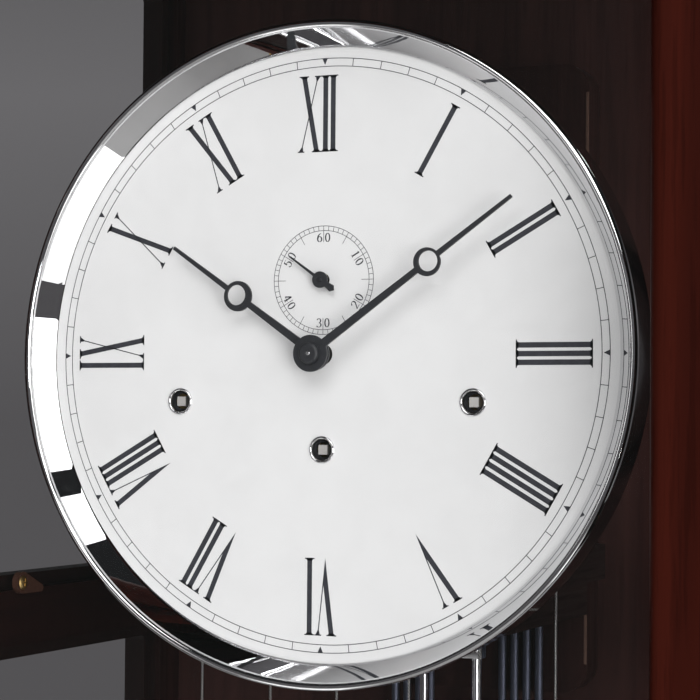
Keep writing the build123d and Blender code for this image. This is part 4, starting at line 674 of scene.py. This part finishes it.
@dataclass
class DialPrint:
    """Numerals, minute track and seconds ring printed on the dial."""

    depth: float = 0.05
    numeral_foot: float = 88.9
    numeral_head: float = 122.6
    thick: float = 2.3
    thin: float = 0.45
    vee_left: float = 3.2
    vee_right: float = 3.3
    cross: float = 3.1
    cross_thin: float = 4.0
    cross_lean: float = 0.4
    serif: float = 0.5
    serif_over: float = 1.15
    fine_serif: float = 1.6
    fine_bracket: float = 2.0
    thick_bracket: float = 0.7
    track_outer: float = 130.0
    track_inner: float = 126.5
    line: float = 0.32
    marker_half: float = 1.3
    marker_length: float = 2.8
    seconds_outer: float = 23.8
    seconds_inner: float = 21.75
    seconds_digits: float = 18.7
    seconds_line: float = 0.24
    tick_half: float = 0.11
    five_tick: float = 3.6
    digit_height: float = 3.9
    digit_half_gap: float = 1.9

    def patch(self, bm: BMesh, first: Triple, last: Triple, matrix: Matrix) -> None:
        """Add a patch between two level edges.

        Args:
            bm: Mesh of the print.
            first: Middle, half width and radius on the dial of one edge.
            last: The same of the other edge.
            matrix: Where the drawing lies.
        """
        (x, half, low), (far_x, far_half, high) = first, last
        corners = [(x - half, low), (x + half, low), (far_x + far_half, high), (far_x - far_half, high)]
        add_outline(bm, corners, matrix, self.depth)

    def end(self, bm: BMesh, place: float, other: float, width: float, rise: float, matrix: Matrix) -> None:
        """Add the serif at the end of a stroke, with the bracket that joins them.

        Args:
            bm: Mesh of the print.
            place: Place of the stroke's end across the numeral.
            other: Place of the stroke's other end.
            width: Width of the stroke.
            rise: Radius of the end on the dial.
            matrix: Where the numeral lies.
        """
        fine = width == self.thin
        half = self.fine_serif if fine else width / 2 + self.serif_over
        bracket = self.fine_bracket if fine else self.thick_bracket
        inward = 1 if rise == self.numeral_foot else -1
        seat = rise + inward * self.serif
        tip = seat + inward * bracket
        lean = (other - place) * (tip - rise) / (self.numeral_head - self.numeral_foot) * inward
        self.patch(bm, (place, half, rise), (place, half, seat), matrix)
        self.patch(bm, (place, half - self.serif_over / 2, seat), (place + lean, width / 2, tip), matrix)

    def stroke(self, bm: BMesh, foot: float, head: float, width: float, matrix: Matrix) -> None:
        """Add a stroke with a serif at both ends, which stand at two places across the numeral."""
        self.patch(bm, (foot, width / 2, self.numeral_foot), (head, width / 2, self.numeral_head), matrix)
        self.end(bm, foot, head, width, self.numeral_foot, matrix)
        self.end(bm, head, foot, width, self.numeral_head, matrix)

    def vee(self, bm: BMesh, middle: float, matrix: Matrix) -> None:
        """Add a V that ends in a point, with a broad left arm and a fine right arm."""
        low, high = self.numeral_foot, self.numeral_head
        outer, inner = middle - self.vee_left - self.thick / 2, middle - self.vee_left + self.thick / 2
        right = middle + self.vee_right + self.thin / 2
        share = self.thick / (middle - outer + right - middle)
        join = low + share * (high - low)
        corner = middle + share * (right - middle)
        add_outline(bm, [(outer, high), (inner, high), (corner, join), (middle, low)], matrix, self.depth)
        fine = [(right - self.thin, high), (right, high), (corner, join), (corner - self.thin, join)]
        add_outline(bm, fine, matrix, self.depth)
        self.end(bm, middle - self.vee_left, middle, self.thick, high, matrix)
        self.end(bm, middle + self.vee_right, middle, self.thin, high, matrix)

    def numeral(self, bm: BMesh, letters: str, start: float, clockwise: float) -> None:
        """Add one numeral.

        Args:
            bm: Mesh of the print.
            letters: The numeral's letters.
            start: Place of its first letter, right of the hour line.
            clockwise: Its hour angle in degrees.
        """
        matrix = dial_matrix(clockwise=clockwise)
        place = start
        for letter, following in zip(letters, letters[1:] + " "):
            if letter == "I":
                self.stroke(bm, place, place, self.thick, matrix)
            elif letter == "V":
                self.vee(bm, place, matrix)
            else:
                fine = place - self.cross_lean
                self.stroke(bm, place + self.cross, place - self.cross, self.thick, matrix)
                self.stroke(bm, fine - self.cross_thin, fine + self.cross_thin, self.thin, matrix)
            if following != " ":
                place += LETTER_STEPS[letter + following]

    def track(self, bm: BMesh) -> None:
        """Add the minute track with its hour markers."""
        for radius in (self.track_inner, self.track_outer):
            add_ring(bm, radius, self.line, dial_matrix(), self.depth, 240)
        half = self.line / 2
        marker = [(0, self.track_outer - self.marker_length), (self.marker_half, self.track_outer),
                  (-self.marker_half, self.track_outer)]
        for minute in range(60):
            matrix = dial_matrix(clockwise=6.0 * minute)
            if minute % 5 == 0:
                add_outline(bm, marker, matrix, self.depth)
            else:
                self.patch(bm, (0, half, self.track_inner), (0, half, self.track_outer), matrix)

    def seconds(self, bm: BMesh) -> None:
        """Add the seconds ring, its ticks and its figures."""
        for radius in (self.seconds_inner, self.seconds_outer):
            add_ring(bm, radius, self.seconds_line, dial_matrix(SECONDS_RISE), self.depth, 120)
        for second in range(60):
            inner = self.seconds_inner
            if second % 10 == 5:
                inner -= self.five_tick
            elif second % 10 == 0:
                inner = self.seconds_digits - self.digit_height / 2
            matrix = dial_matrix(SECONDS_RISE, 6.0 * second)
            self.patch(bm, (0, self.tick_half, inner), (0, self.tick_half, self.seconds_outer), matrix)
        for index, pair in enumerate(("60", "10", "20", "30", "40", "50")):
            flip = 180.0 if index in (2, 3, 4) else 0.0
            for side, figure in zip(SIDES, pair):
                matrix = dial_matrix(SECONDS_RISE, 60.0 * index)
                place = side * (-1 if flip else 1) * self.digit_half_gap
                spot = Matrix.Translation((place, self.seconds_digits, 0)) @ Matrix.Rotation(math.radians(flip), 4, "Z")
                SerifFigure(figure, self.digit_height).add(bm, matrix @ spot, self.depth)

    def build(self) -> None:
        """Make the whole print as one thin piece."""
        bm = bmesh.new()
        for hour, (letters, start) in enumerate(NUMERAL_STARTS.items()):
            self.numeral(bm, letters, start, 30.0 * hour)
        self.track(bm)
        self.seconds(bm)
        finish_piece(bm, "dial_print", INK, "case", sharp=20)


@dataclass
class Bezel:
    """Spun chrome front with a rolled bead and a hollow flange, on a drum; heights grow towards the back."""

    bead: Profile = ((143.5, -9.0), (143.4, -12.8), (141.88, -9.76))
    flange: Profile = ((141.88, -9.76), (138.435, -5.442), (134.9, -1.2))
    seat: Profile = ((134.5, -0.6), (134.9, -0.05), (136.1, -0.05), (142.3, -9.0))
    drum: Profile = ((142.3, 16.0), (143.5, 16.0), (143.5, -8.95), (142.3, -8.95))
    steps: int = 288

    def build(self) -> None:
        """Make the front and the drum."""
        front, drum = bmesh.new(), bmesh.new()
        profile = [*arc(*self.bead, 28), *arc(*self.flange, 12)[1:], *self.seat]
        add_turned(front, profile, on_dial(), BACK, self.steps, closed=True)
        finish_piece(front, "bezel_chrome", CHROME, "case", ["bezel"], sharp=50)
        add_turned(drum, self.drum, on_dial(), BACK, self.steps, closed=True)
        # The drum wall's dark colour is painted shade.
        finish_piece(drum, "bezel_drum", SHADED_DRUM, "case")


@dataclass
class Ferrules:
    """Eyelets of the winding holes, with a dark well and the winding squares seen in them."""

    back: Point2 = (4.75, 3.0)
    lip: Profile = ((4.75, -0.4), (5.3, -0.9), (6.0, -0.05))
    tube: Profile = ((5.25, 0.0), (5.25, 3.0))
    well: Profile = ((3.4, 2.4), (4.7, 2.4), (4.7, 2.9), (3.4, 2.9))

    def build(self) -> None:
        """Make the eyelets and the wells behind them."""
        rims, wells = bmesh.new(), bmesh.new()
        rim = [self.back, *arc(*self.lip, 8), *self.tube]
        for x, rise in TRAINS.values():
            add_turned(rims, rim, on_dial(x, rise), BACK, 64, closed=True)
            add_turned(wells, self.well, on_dial(x, rise), BACK, 48, closed=True)
        finish_piece(rims, "ferrule_chrome", CHROME, "case", ["winding_ferrules"])
        finish_piece(wells, "winding_wells", SHADOW_BLACK, "case")


@dataclass
class HandCentre:
    """Domed nut of the hands, the bright end of the centre arbor and the pin of the seconds hand."""

    nut_front: Profile = ((0, 16.0), (1.1, 16.0), (1.3, 16.2), (2.9, 16.3))
    nut_dome: Profile = ((3.4, 16.3), (4.3, 15.9), (4.75, 14.9))
    nut_foot: Profile = ((4.75, 13.7), (0, 13.7))
    pin_end: Profile = ((0, 16.26), (0.7, 16.2), (0.95, 16.0))
    seconds_end: Profile = ((0, 4.5), (0.8, 4.4), (1.15, 4.0), (1.15, 3.3))

    def build(self) -> None:
        """Make the nut and the two pins."""
        nut, tip, pivot = bmesh.new(), bmesh.new(), bmesh.new()
        add_turned(nut, [*self.nut_front, *arc(*self.nut_dome, 6), *self.nut_foot], on_dial(), FRONT, 64)
        finish_piece(nut, "hand_nut_cap", HAND_BLACK, "minute", ["hand_nut"])
        add_turned(tip, self.pin_end, on_dial(), FRONT, 24)
        finish_piece(tip, "centre_pin_end", STEEL, "minute")
        add_turned(pivot, self.seconds_end, on_dial(0, SECONDS_RISE), FRONT, 24)
        finish_piece(pivot, "seconds_pin_end", HAND_BLACK, "seconds")


@dataclass
class Cables:
    """Weight cables, each a drum run and a dead run."""

    bottom: float = 508.8
    seat_under: float = 1500.0
    travel: float = 900.0
    rings: int = 40

    def build(self) -> None:
        """Make both runs of every cable."""
        for train, (x, rise) in TRAINS.items():
            runs = {"drum_run": (x - CABLE_WRAP, DIAL_Z + rise), "dead_run": (x + CABLE_WRAP, self.seat_under)}
            for label, (place, top) in runs.items():
                bm = bmesh.new()
                length = top - self.bottom
                side = [(CABLE_RADIUS, length - i * length / self.rings) for i in range(self.rings + 1)]
                profile = [(0, length), *side, (0, 0)]
                add_turned(bm, profile, at(place, CABLE_Y, self.bottom), UP, CABLE_SIDES)
                stands_for = [f"{train}_cable"] if label == "drum_run" else []
                run = finish_piece(bm, f"{train}_cable_{label}", WIRE, "case", stands_for)
                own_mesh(run)


@dataclass
class Weights:
    """Chrome weights in their stirrups, the cable's bight and the grooved pulleys."""

    bottom: float = 240.0
    top: float = 470.0
    pulley: float = 508.5
    radius: float = 29.0
    cap: float = 30.0
    cap_edge: Profile = ((28.8, 0.0), (29.7, 0.35), (30.0, 1.2))
    cap_height: float = 5.4
    band: float = 6.0
    stud: Profile = ((4.2, 0.0), (3.0, 1.5), (3.0, 12.0), (0, 12.0))
    stirrup_boxes: tuple[Box, ...] = (
        ((-5.5, -5.6, 482.0), (5.5, 5.6, 486.0), 0.4),
        ((-5.5, -5.6, 484.0), (5.5, -3.6, 516.5), 0.4),
        ((-5.5, 3.6, 484.0), (5.5, 5.6, 516.5), 0.4),
    )
    axle_half: float = 5.6
    axle: float = 2.5
    sheave_face: Profile = ((2.55, 2.6), (7.0, 2.6), (7.4, 2.0), (15.0, 2.0), (15.6, 3.0), (20.1, 3.0), (20.5, 2.6))
    groove: Profile = ((20.3, -2.3), (17.0, 0.0), (20.3, 2.3))

    def build(self) -> None:
        """Make the weights and pulleys of the three trains."""
        for train, (x, _) in TRAINS.items():
            self.weight(train, x)
            self.stirrup(train, x)
            self.bight(train, x)
            self.sheave(train, x)

    def weight(self, train: str, x: float) -> None:
        """Make one weight with the stud on its top."""
        bm = bmesh.new()
        end = [*arc(*self.cap_edge, 4), (self.cap, self.cap_height), (self.radius, self.band)]
        profile = [(0, self.bottom), *((r, self.bottom + h) for r, h in end)]
        profile += [(r, self.top - h) for r, h in reversed(end)]
        profile += [(r, self.top + h) for r, h in self.stud]
        add_turned(bm, profile, at(x, CABLE_Y, 0), UP, 96)
        finish_piece(bm, f"{train}_weight_shell", CHROME, f"{train}_weight_body", [f"{train}_weight"])

    def stirrup(self, train: str, x: float) -> None:
        """Make the stirrup of one weight with the axle of its pulley."""
        bm = bmesh.new()
        add_boxes(bm, self.stirrup_boxes, (x, CABLE_Y, 0))
        add_rod(bm, *(at(x, CABLE_Y + side * self.axle_half, self.pulley) for side in SIDES), self.axle)
        finish_piece(bm, f"{train}_stirrup", BRASS, f"{train}_weight_body")

    def bight(self, train: str, x: float) -> None:
        """Make the half turn of cable under one pulley."""
        bm = bmesh.new()
        start = Matrix.Translation(at(x + CABLE_WRAP, CABLE_Y, self.pulley))
        ring = bmesh.ops.create_circle(bm, segments=CABLE_SIDES, radius=CABLE_RADIUS * MM, matrix=start)
        edges = list(dict.fromkeys(e for v in ring["verts"] for e in v.link_edges))
        bmesh.ops.spin(bm, geom=ring["verts"] + edges, cent=at(x, CABLE_Y, self.pulley), axis=(0, 1, 0),
                       dvec=(0, 0, 0), angle=math.pi, steps=36, use_merge=False)
        finish_piece(bm, f"{train}_cable_bight", WIRE, f"{train}_weight_body")

    def sheave(self, train: str, x: float) -> None:
        """Make one grooved pulley."""
        bm = bmesh.new()
        profile = [*((r, -h) for r, h in self.sheave_face), *arc(*self.groove, 12), *reversed(self.sheave_face)]
        add_turned(bm, profile, at(x, CABLE_Y, self.pulley), BACK, 72, closed=True)
        finish_piece(bm, f"{train}_pulley_wheel", BRASS, f"{train}_sheave", [f"{train}_pulley"])


@dataclass
class Pendulum:
    """Suspension spring, leader and yokes as strips, paired rods, bob and rating nut."""

    strips: tuple[Box, ...] = (
        ((-0.2, -4.0, 1634.8), (0.2, 4.0, 1667.8), 0.05),
        ((-5.0, -0.8, 1453.0), (5.0, 0.8, 1646.8), 0.2),
        ((-17.9, -3.5, 1453.0), (17.9, 3.5, 1465.0), 0.8),
        ((-17.9, -3.5, 776.0), (17.9, 3.5, 788.0), 0.8),
    )
    rods_apart: float = 28.0
    rod_radius: float = 2.4
    rod_ends: Point2 = (788.0, 1453.0)
    stud: Profile = ((0, 0), (3.0, 0), (3.0, 1.0), (2.2, 1.8), (0, 1.8))
    stud_y: float = 95.5
    stud_heights: Point2 = (1459.0, 782.0)
    thread: float = 3.0
    thread_ends: Point2 = (572.5, 776.0)
    bob_height: float = 675.0
    bob_face: Profile = ((0, 15.0), (46.2, 11.2), (78.0, 4.2))
    bob_step: Profile = ((79.0, 3.6), (79.6, 3.9))
    bob_rim: Profile = ((82.6, 3.0), (83.7, 2.1), (84.0, 0.0))
    nut_top: float = 590.5
    nut_radius: float = 10.6
    nut_edge: Profile = ((3.05, 0.0), (9.8, 0.0), (10.6, -1.0), (10.6, -8.0), (9.8, -9.0), (3.05, -9.0))
    nut_middle: float = 4.5
    nut_ribs: int = 36
    rib: Triple = (0.7, 0.9, 6.6)

    def build(self) -> None:
        """Make the pendulum's pieces."""
        bright, strip = bmesh.new(), bmesh.new()
        add_boxes(strip, self.strips, (0, PENDULUM_Y, 0))
        for side in SIDES:
            x = side * self.rods_apart / 2
            add_rod(bright, *(at(x, PENDULUM_Y, z) for z in self.rod_ends), self.rod_radius, 0.2)
            for z in self.stud_heights:
                add_turned(bright, self.stud, at(x, self.stud_y, z), FRONT, 32)
        add_rod(bright, *(at(0, PENDULUM_Y, z) for z in self.thread_ends), self.thread)
        finish_piece(strip, "pendulum_strips", SATIN_CHROME, "pendulum", ["pendulum_frame"])
        finish_piece(bright, "pendulum_rods", CHROME, "pendulum")
        self.bob()
        self.nut()

    def bob(self) -> None:
        """Make the lens-shaped bob with a stepped rim."""
        bm = bmesh.new()
        half = [*arc(*self.bob_face, 20), *self.bob_step, *arc(*self.bob_rim, 5)]
        profile = half + [(r, -h) for r, h in reversed(half[:-1])]
        add_turned(bm, profile, at(0, PENDULUM_Y, self.bob_height), FRONT, 160)
        finish_piece(bm, "pendulum_bob_lens", CHROME, "pendulum", ["pendulum_bob"])

    def nut(self) -> None:
        """Make the rating nut with a milled edge."""
        bm = bmesh.new()
        profile = [(r, self.nut_top + h) for r, h in self.nut_edge]
        add_turned(bm, profile, at(0, PENDULUM_Y, 0), UP, 48, closed=True)
        for index in range(self.nut_ribs):
            angle = 2 * math.pi * index / self.nut_ribs
            out = Vector((math.cos(angle), math.sin(angle), 0)) * self.nut_radius
            spot = Matrix.Translation(at(out.x, PENDULUM_Y + out.y, self.nut_top - self.nut_middle))
            place = spot @ Matrix.Rotation(angle, 4, "Z")
            bmesh.ops.create_cube(bm, size=MM, matrix=place @ Matrix.Diagonal((*self.rib, 1)))
        finish_piece(bm, "rating_nut_milled", SATIN_CHROME, "regulator", ["rating_nut"])


@dataclass
class Chime:
    """Tuned rods, thinned under their collars."""

    first: float = 19.5
    pitch: float = 6.5
    top: float = 1500.0
    rod_y: float = 122.0
    longest: float = 470.0
    step: float = 22.0
    foot: Profile = ((0, 0.0), (1.6, 0.0), (2.0, 0.5))
    neck: Profile = ((2.0, -6.0), (1.3, -4.5), (1.3, -1.2), (2.0, 0.0), (0, 0.0))

    def build(self) -> None:
        """Make the hanging rods."""
        rods = bmesh.new()
        for side in SIDES:
            for index in range(4):
                x = side * (self.first + index * self.pitch)
                low = self.top - (self.longest - (index + 2 * (1 - side)) * self.step)
                profile = [(r, low + h) for r, h in self.foot] + [(r, self.top + h) for r, h in self.neck]
                add_turned(rods, profile, at(x, self.rod_y, 0), UP, 24)
        finish_piece(rods, "chime_rod_set", BLUED, "case", ["chime_rods"])


@dataclass
class CaseFittings:
    """Feet, knob, clip screws, hinge screws and other small fittings of the case."""

    foot_x: float = 198.0
    foot_y: float = 130.0
    foot_edge: Profile = ((13.6, 0.0), (14.6, 0.45), (15.0, 1.4))
    foot_shoulder: Profile = ((15.0, 6.5), (14.4, 8.6), (12.4, 10.0))
    foot_stem: Profile = ((4.0, 10.0), (4.0, 28.0), (0, 28.0))
    knob_place: Triple = (-180.0, -128.0, 1010.0)
    rose_edge: Profile = ((9.0, 1.2), (8.4, 1.9), (7.4, 2.2))
    knob_neck: Profile = ((6.6, 2.4), (6.0, 3.2), (4.6, 3.8), (4.0, 4.6), (4.0, 6.6))
    knob_ball: Profile = ((4.0, 7.16), (7.5, 13.5), (0.0, 21.0))
    clip_place: Triple = (174.6, -24.0, 1491.6)
    clip_screw: float = 3.6
    hinge_x: float = 197.6
    case_leaf_y: float = -90.5
    door_leaf_y: float = -121.0
    hinge_heights: tuple[float, ...] = (299.0, 990.0, 1681.0)
    hinge_rise: float = 21.0
    hinge_screw: float = 2.6
    panel_x: float = 168.0
    panel_y: float = 151.0
    panel_heights: tuple[float, ...] = (200.0, 600.0, 1000.0, 1400.0, 1780.0)
    panel_screw: float = 2.4
    # Thin strips on both upright edges of the back pad that carry a painted highlight.
    pad_boxes: tuple[Box, ...] = (
        ((-62.9, 125.7, 1450.0), (-61.3, 126.2, 1739.0), 0.2),
        ((61.3, 125.7, 1450.0), (62.9, 126.2, 1739.0), 0.2),
    )

    def build(self) -> None:
        """Make the fittings."""
        self.feet()
        self.knob()
        self.all_screws()
        self.pad_edge_highlights()

    def feet(self) -> None:
        """Make the levelling feet with softened pads."""
        bm = bmesh.new()
        profile = [(0, 0), *arc(*self.foot_edge, 4), *arc(*self.foot_shoulder, 5), *self.foot_stem]
        for x in (-self.foot_x, self.foot_x):
            for y in (-self.foot_y, self.foot_y):
                add_turned(bm, profile, at(x, y, 0), UP, 48)
        finish_piece(bm, "foot_pads", RUBBER, "case", ["levelling_feet"])

    def knob(self) -> None:
        """Make the turned door knob on its rose."""
        bm = bmesh.new()
        rose = [(0, 0), (self.rose_edge[0][0], 0), *arc(*self.rose_edge, 4)]
        profile = [*rose, *self.knob_neck, *arc(*self.knob_ball, 20)]
        add_turned(bm, profile, at(*self.knob_place), FRONT, 64)
        finish_piece(bm, "knob_turned", AGED_BRASS, "door", ["door_knob"])

    def screw(self, bm: BMesh, place: Vector, axis: Vector, radius: float, turn: float) -> None:
        """Add a domed cross-slot screw head.

        Args:
            bm: Mesh that gets the head.
            place: Middle of the head's seat, in metres.
            axis: Direction that the head faces.
            radius: Radius in millimetres.
            turn: Turn of the slots in degrees.
        """
        dome = arc((radius * 0.25, radius * 0.35), (radius * 0.7, radius * 0.26), (radius, 0.05), 6)
        add_turned(bm, [(0, radius * 0.34), *dome, (radius, 0), (0, 0)], place, axis, 28)
        frame = axis.to_track_quat("Z", "Y").to_matrix().to_4x4()
        centre = Matrix.Translation(place + axis * radius * 0.31 * MM) @ frame
        bar = Matrix.Diagonal((radius * 1.1, radius * 0.2, radius * 0.16, 1))
        for slot_turn in (turn, turn + 90):
            spot = centre @ Matrix.Rotation(math.radians(slot_turn), 4, "Z")
            bmesh.ops.create_cube(bm, size=MM, matrix=spot @ bar)

    def screws(self, name: str, body: str, axis: Vector, radius: float, spots: Iterable[tuple[Vector, float]]) -> None:
        """Make a piece of screws that face one way, each with its place and turn."""
        bm = bmesh.new()
        for place, turn in spots:
            self.screw(bm, place, axis, radius, turn)
        finish_piece(bm, name, AGED_BRASS, body)

    def all_screws(self) -> None:
        """Make the screws of the turn clips, the hinge leaves and the back panel."""
        clip_x, clip_y, clip_z = self.clip_place
        for side, body in zip(SIDES, ("left_clip", "right_clip")):
            spot = (at(side * clip_x, clip_y, clip_z), 20 + 30 * side)
            self.screws(f"{body}_screw", body, RIGHT * -side, self.clip_screw, [spot])
        rows = [(height, rise) for height in self.hinge_heights for rise in (-self.hinge_rise, self.hinge_rise)]
        for body, y, turn, way in (("case", self.case_leaf_y, 12, 1), ("door", self.door_leaf_y, 50, -1)):
            spots = [(at(self.hinge_x, y, height + rise), turn + way * rise) for height, rise in rows]
            self.screws(f"hinge_{body}_screws", body, RIGHT, self.hinge_screw, spots)
        corners = [(x, z) for x in (-self.panel_x, self.panel_x) for z in self.panel_heights]
        spots = [(at(x, self.panel_y, z), x * 0.3 + z * 0.1) for x, z in corners]
        self.screws("panel_screws", "case", BACK, self.panel_screw, spots)

    def pad_edge_highlights(self) -> None:
        """Make lighter strips on the upright edges of the board on the back panel: painted highlight."""
        bm = bmesh.new()
        add_boxes(bm, self.pad_boxes)
        finish_piece(bm, "pad_edge_highlights", EDGE_HIGHLIGHT_WOOD, "case")


@dataclass(frozen=True)
class Softbox:
    """A rectangular lamp, with its place, target and size in metres and its power in watts."""

    name: str
    place: Triple
    target: Triple
    size: Point2
    power: float

    def hang(self) -> None:
        """Add the lamp to the scene."""
        data = bpy.data.lights.new(self.name, "AREA")
        data.shape = "RECTANGLE"
        data.size, data.size_y = self.size
        data.energy = self.power
        lamp = bpy.data.objects.new(self.name, data)
        lamp.location = self.place
        lamp.rotation_euler = (Vector(self.target) - Vector(self.place)).to_track_quat("-Z", "Y").to_euler()
        lamp.visible_camera = False
        bpy.context.scene.collection.objects.link(lamp)


SOFTBOXES = (
    Softbox("front_softbox", (0.9, -3.0, 3.4), (0, 0, 1.5), (2.8, 1.7), 65.0),
    Softbox("fill_softbox", (2.0, -2.4, 1.4), (0, -0.1, 1.5), (1.3, 1.2), 55.0),
    Softbox("right_softbox", (1.93, -0.86, 2.101), (-0.13, -0.07, 2.101), (1.2, 1.574), 16.0),
    Softbox("right_high_softbox", (1.74, -0.78, 3.542), (-0.13, -0.07, 3.542), (1.2, 0.896), 9.0),
    Softbox("floor_bounce", (2.93, -1.05, 0.02), (2.93, -1.05, 2.0), (3.84, 2.0), 38.5),
    Softbox("left_floor_bounce", (-0.8, -0.85, 0.02), (-0.8, -0.85, 2.0), (0.7, 1.3), 3.7),
    Softbox("left_softbox", (-2.0, -2.25, 1.2), (0, -0.07, 1.5), (0.65, 1.8), 5.0),
    Softbox("back_softbox", (0.8, 2.6, 4.2), (0, 0, 1.2), (1.6, 1.6), 52.0),
)


@dataclass
class Studio:
    """Floor, light and camera."""

    azimuth: float = 24.159
    elevation: float = -1.879
    roll: float = 0.471
    distance: float = 938.57
    focal: float = 2146.58
    centre: Point2 = (322.72, 354.34)
    ambient: Colour = (0.24, 0.24, 0.245)
    room_low: Colour = (0.100, 0.096, 0.101)
    room_high: Colour = (0.165, 0.160, 0.167)
    ceiling: Colour = (0.014, 0.014, 0.015)
    floor: Colour = (0.43, 0.425, 0.42)
    floor_radius: float = 3.6

    def camera(self) -> None:
        """Put the camera where the photograph was taken from."""
        a, e, roll = (math.radians(v) for v in (self.azimuth, self.elevation, self.roll))
        back = Vector((math.sin(a) * math.cos(e), -math.cos(a) * math.cos(e), math.sin(e)))
        level = Vector((math.cos(a), math.sin(a), 0))
        above = back.cross(level)
        right = level * math.cos(roll) + above * math.sin(roll)
        up = above * math.cos(roll) - level * math.sin(roll)
        place = on_dial() + back * self.distance * MM
        data = bpy.data.cameras.new("camera")
        data.sensor_width = 36.0
        data.lens = self.focal / IMAGE_SIDE * data.sensor_width
        data.shift_x = (IMAGE_SIDE / 2 - self.centre[0]) / IMAGE_SIDE
        data.shift_y = (self.centre[1] - IMAGE_SIDE / 2) / IMAGE_SIDE
        data.clip_start, data.clip_end = 0.05, 200.0
        camera = bpy.data.objects.new("camera", data)
        camera.matrix_world = Matrix((
            (right.x, up.x, back.x, place.x),
            (right.y, up.y, back.y, place.y),
            (right.z, up.z, back.z, place.z),
            (0, 0, 0, 1),
        ))
        bpy.context.scene.collection.objects.link(camera)
        bpy.context.scene.camera = camera

    def ground(self) -> None:
        """Lay a plain pale floor."""
        bm = bmesh.new()
        bmesh.ops.create_circle(bm, cap_ends=True, segments=128, radius=self.floor_radius)
        mesh = bpy.data.meshes.new("floor")
        bm.to_mesh(mesh)
        bm.free()
        mesh.materials.append(Paint("floor_paint", self.floor, 0.03, 0.6, 3.0, 0.0, 0.3).material())
        floor = bpy.data.objects.new("floor", mesh)
        bpy.context.scene.collection.objects.link(floor)

    def room_light(self) -> None:
        """Fill the room with soft light, and show it as a plain grey wall."""
        world = bpy.data.worlds.new("room")
        world.use_nodes = True
        bpy.context.scene.world = world
        tree = world.node_tree
        rays = add_node(tree, "LightPath", {}).outputs
        seen = rays["Is Camera Ray"]
        for other in ("Is Glossy Ray", "Is Transmission Ray"):
            seen = add_node(tree, "Math", {0: seen, 1: rays[other]}, {"operation": "MAXIMUM"}).outputs["Value"]
        coords = add_node(tree, "TexCoord", {}).outputs["Generated"]
        rise = add_node(tree, "SeparateXYZ", {"Vector": coords}).outputs["Z"]
        wall = add_ramp(tree, rise, [(0.0, self.room_low), (0.15, self.room_high), (0.45, self.ceiling)])
        tone = add_node(tree, "Mix", {"Factor": seen, "B": wall}, {"data_type": "RGBA"}, A=(*self.ambient, 1.0))
        tree.links.new(tone.outputs["Result"], tree.nodes["Background"].inputs["Color"])

    def build(self) -> None:
        """Make the floor, the light and the camera."""
        self.ground()
        self.room_light()
        for softbox in SOFTBOXES:
            softbox.hang()
        bpy.context.scene.view_settings.view_transform = "Standard"
        self.camera()


NODE_FINISHES: dict[Finish, str] = {
    ACROSS_WOOD: "plinth crown",
    SIDE_WOOD: "left_side_frame right_side_frame",
    BACK_WOOD: "back_panel",
    PAD_WOOD: "back_pad",
    SHADE_WOOD: "seat_board bracket_arms",
    DOOR_WOOD: "door_frame",
    CLEAR: "side_panes door_glass",
    BROWN_PLASTIC: "left_turn_clip right_turn_clip",
    AGED_BRASS: "hinge_case_leaves hinge_door_leaves",
    DIAL_WHITE: "dial_plate",
    HAND_BLACK: "hour_hand minute_hand seconds_hand",
    STEEL: "pallet_anchor cannon_pinion hammer_rail",
    IRON: "chime_blocks",
    BRASS: "suspension_bracket movement_posts strike_hammers front_plate back_plate time_great_wheel centre_wheel "
           "third_wheel minute_wheel chime_hammer_1 chime_hammer_2 chime_hammer_3 chime_hammer_4",
    # The front ends of these arbors carry painted shade.
    SHADED_FRONT_BRASS: "escape_wheel hour_wheel",
    BARREL: "strike_barrel time_barrel chime_barrel",
}


def dress(nodes: Mapping[str, bpy.types.Object]) -> None:
    """Give every CAD node that keeps its shape its finish."""
    for finish, names in NODE_FINISHES.items():
        for name in names.split():
            mesh = nodes[name].data
            mesh.materials.clear()
            mesh.materials.append(finish.material())
            LOG.info("dressed %s in %s", name, finish.name)


def main() -> None:
    """Load the frame, dress it, build the pieces and light the room."""
    logging.basicConfig(level=logging.INFO, format="%(message)s")
    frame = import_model()
    dress(frame["nodes"])
    for part in (DialPrint(), Bezel(), Ferrules(), HandCentre(), Cables(), Weights(), Pendulum(), Chime(),
                 CaseFittings()):
        part.build()
    Studio().build()


if __name__ == "__main__":
    main()
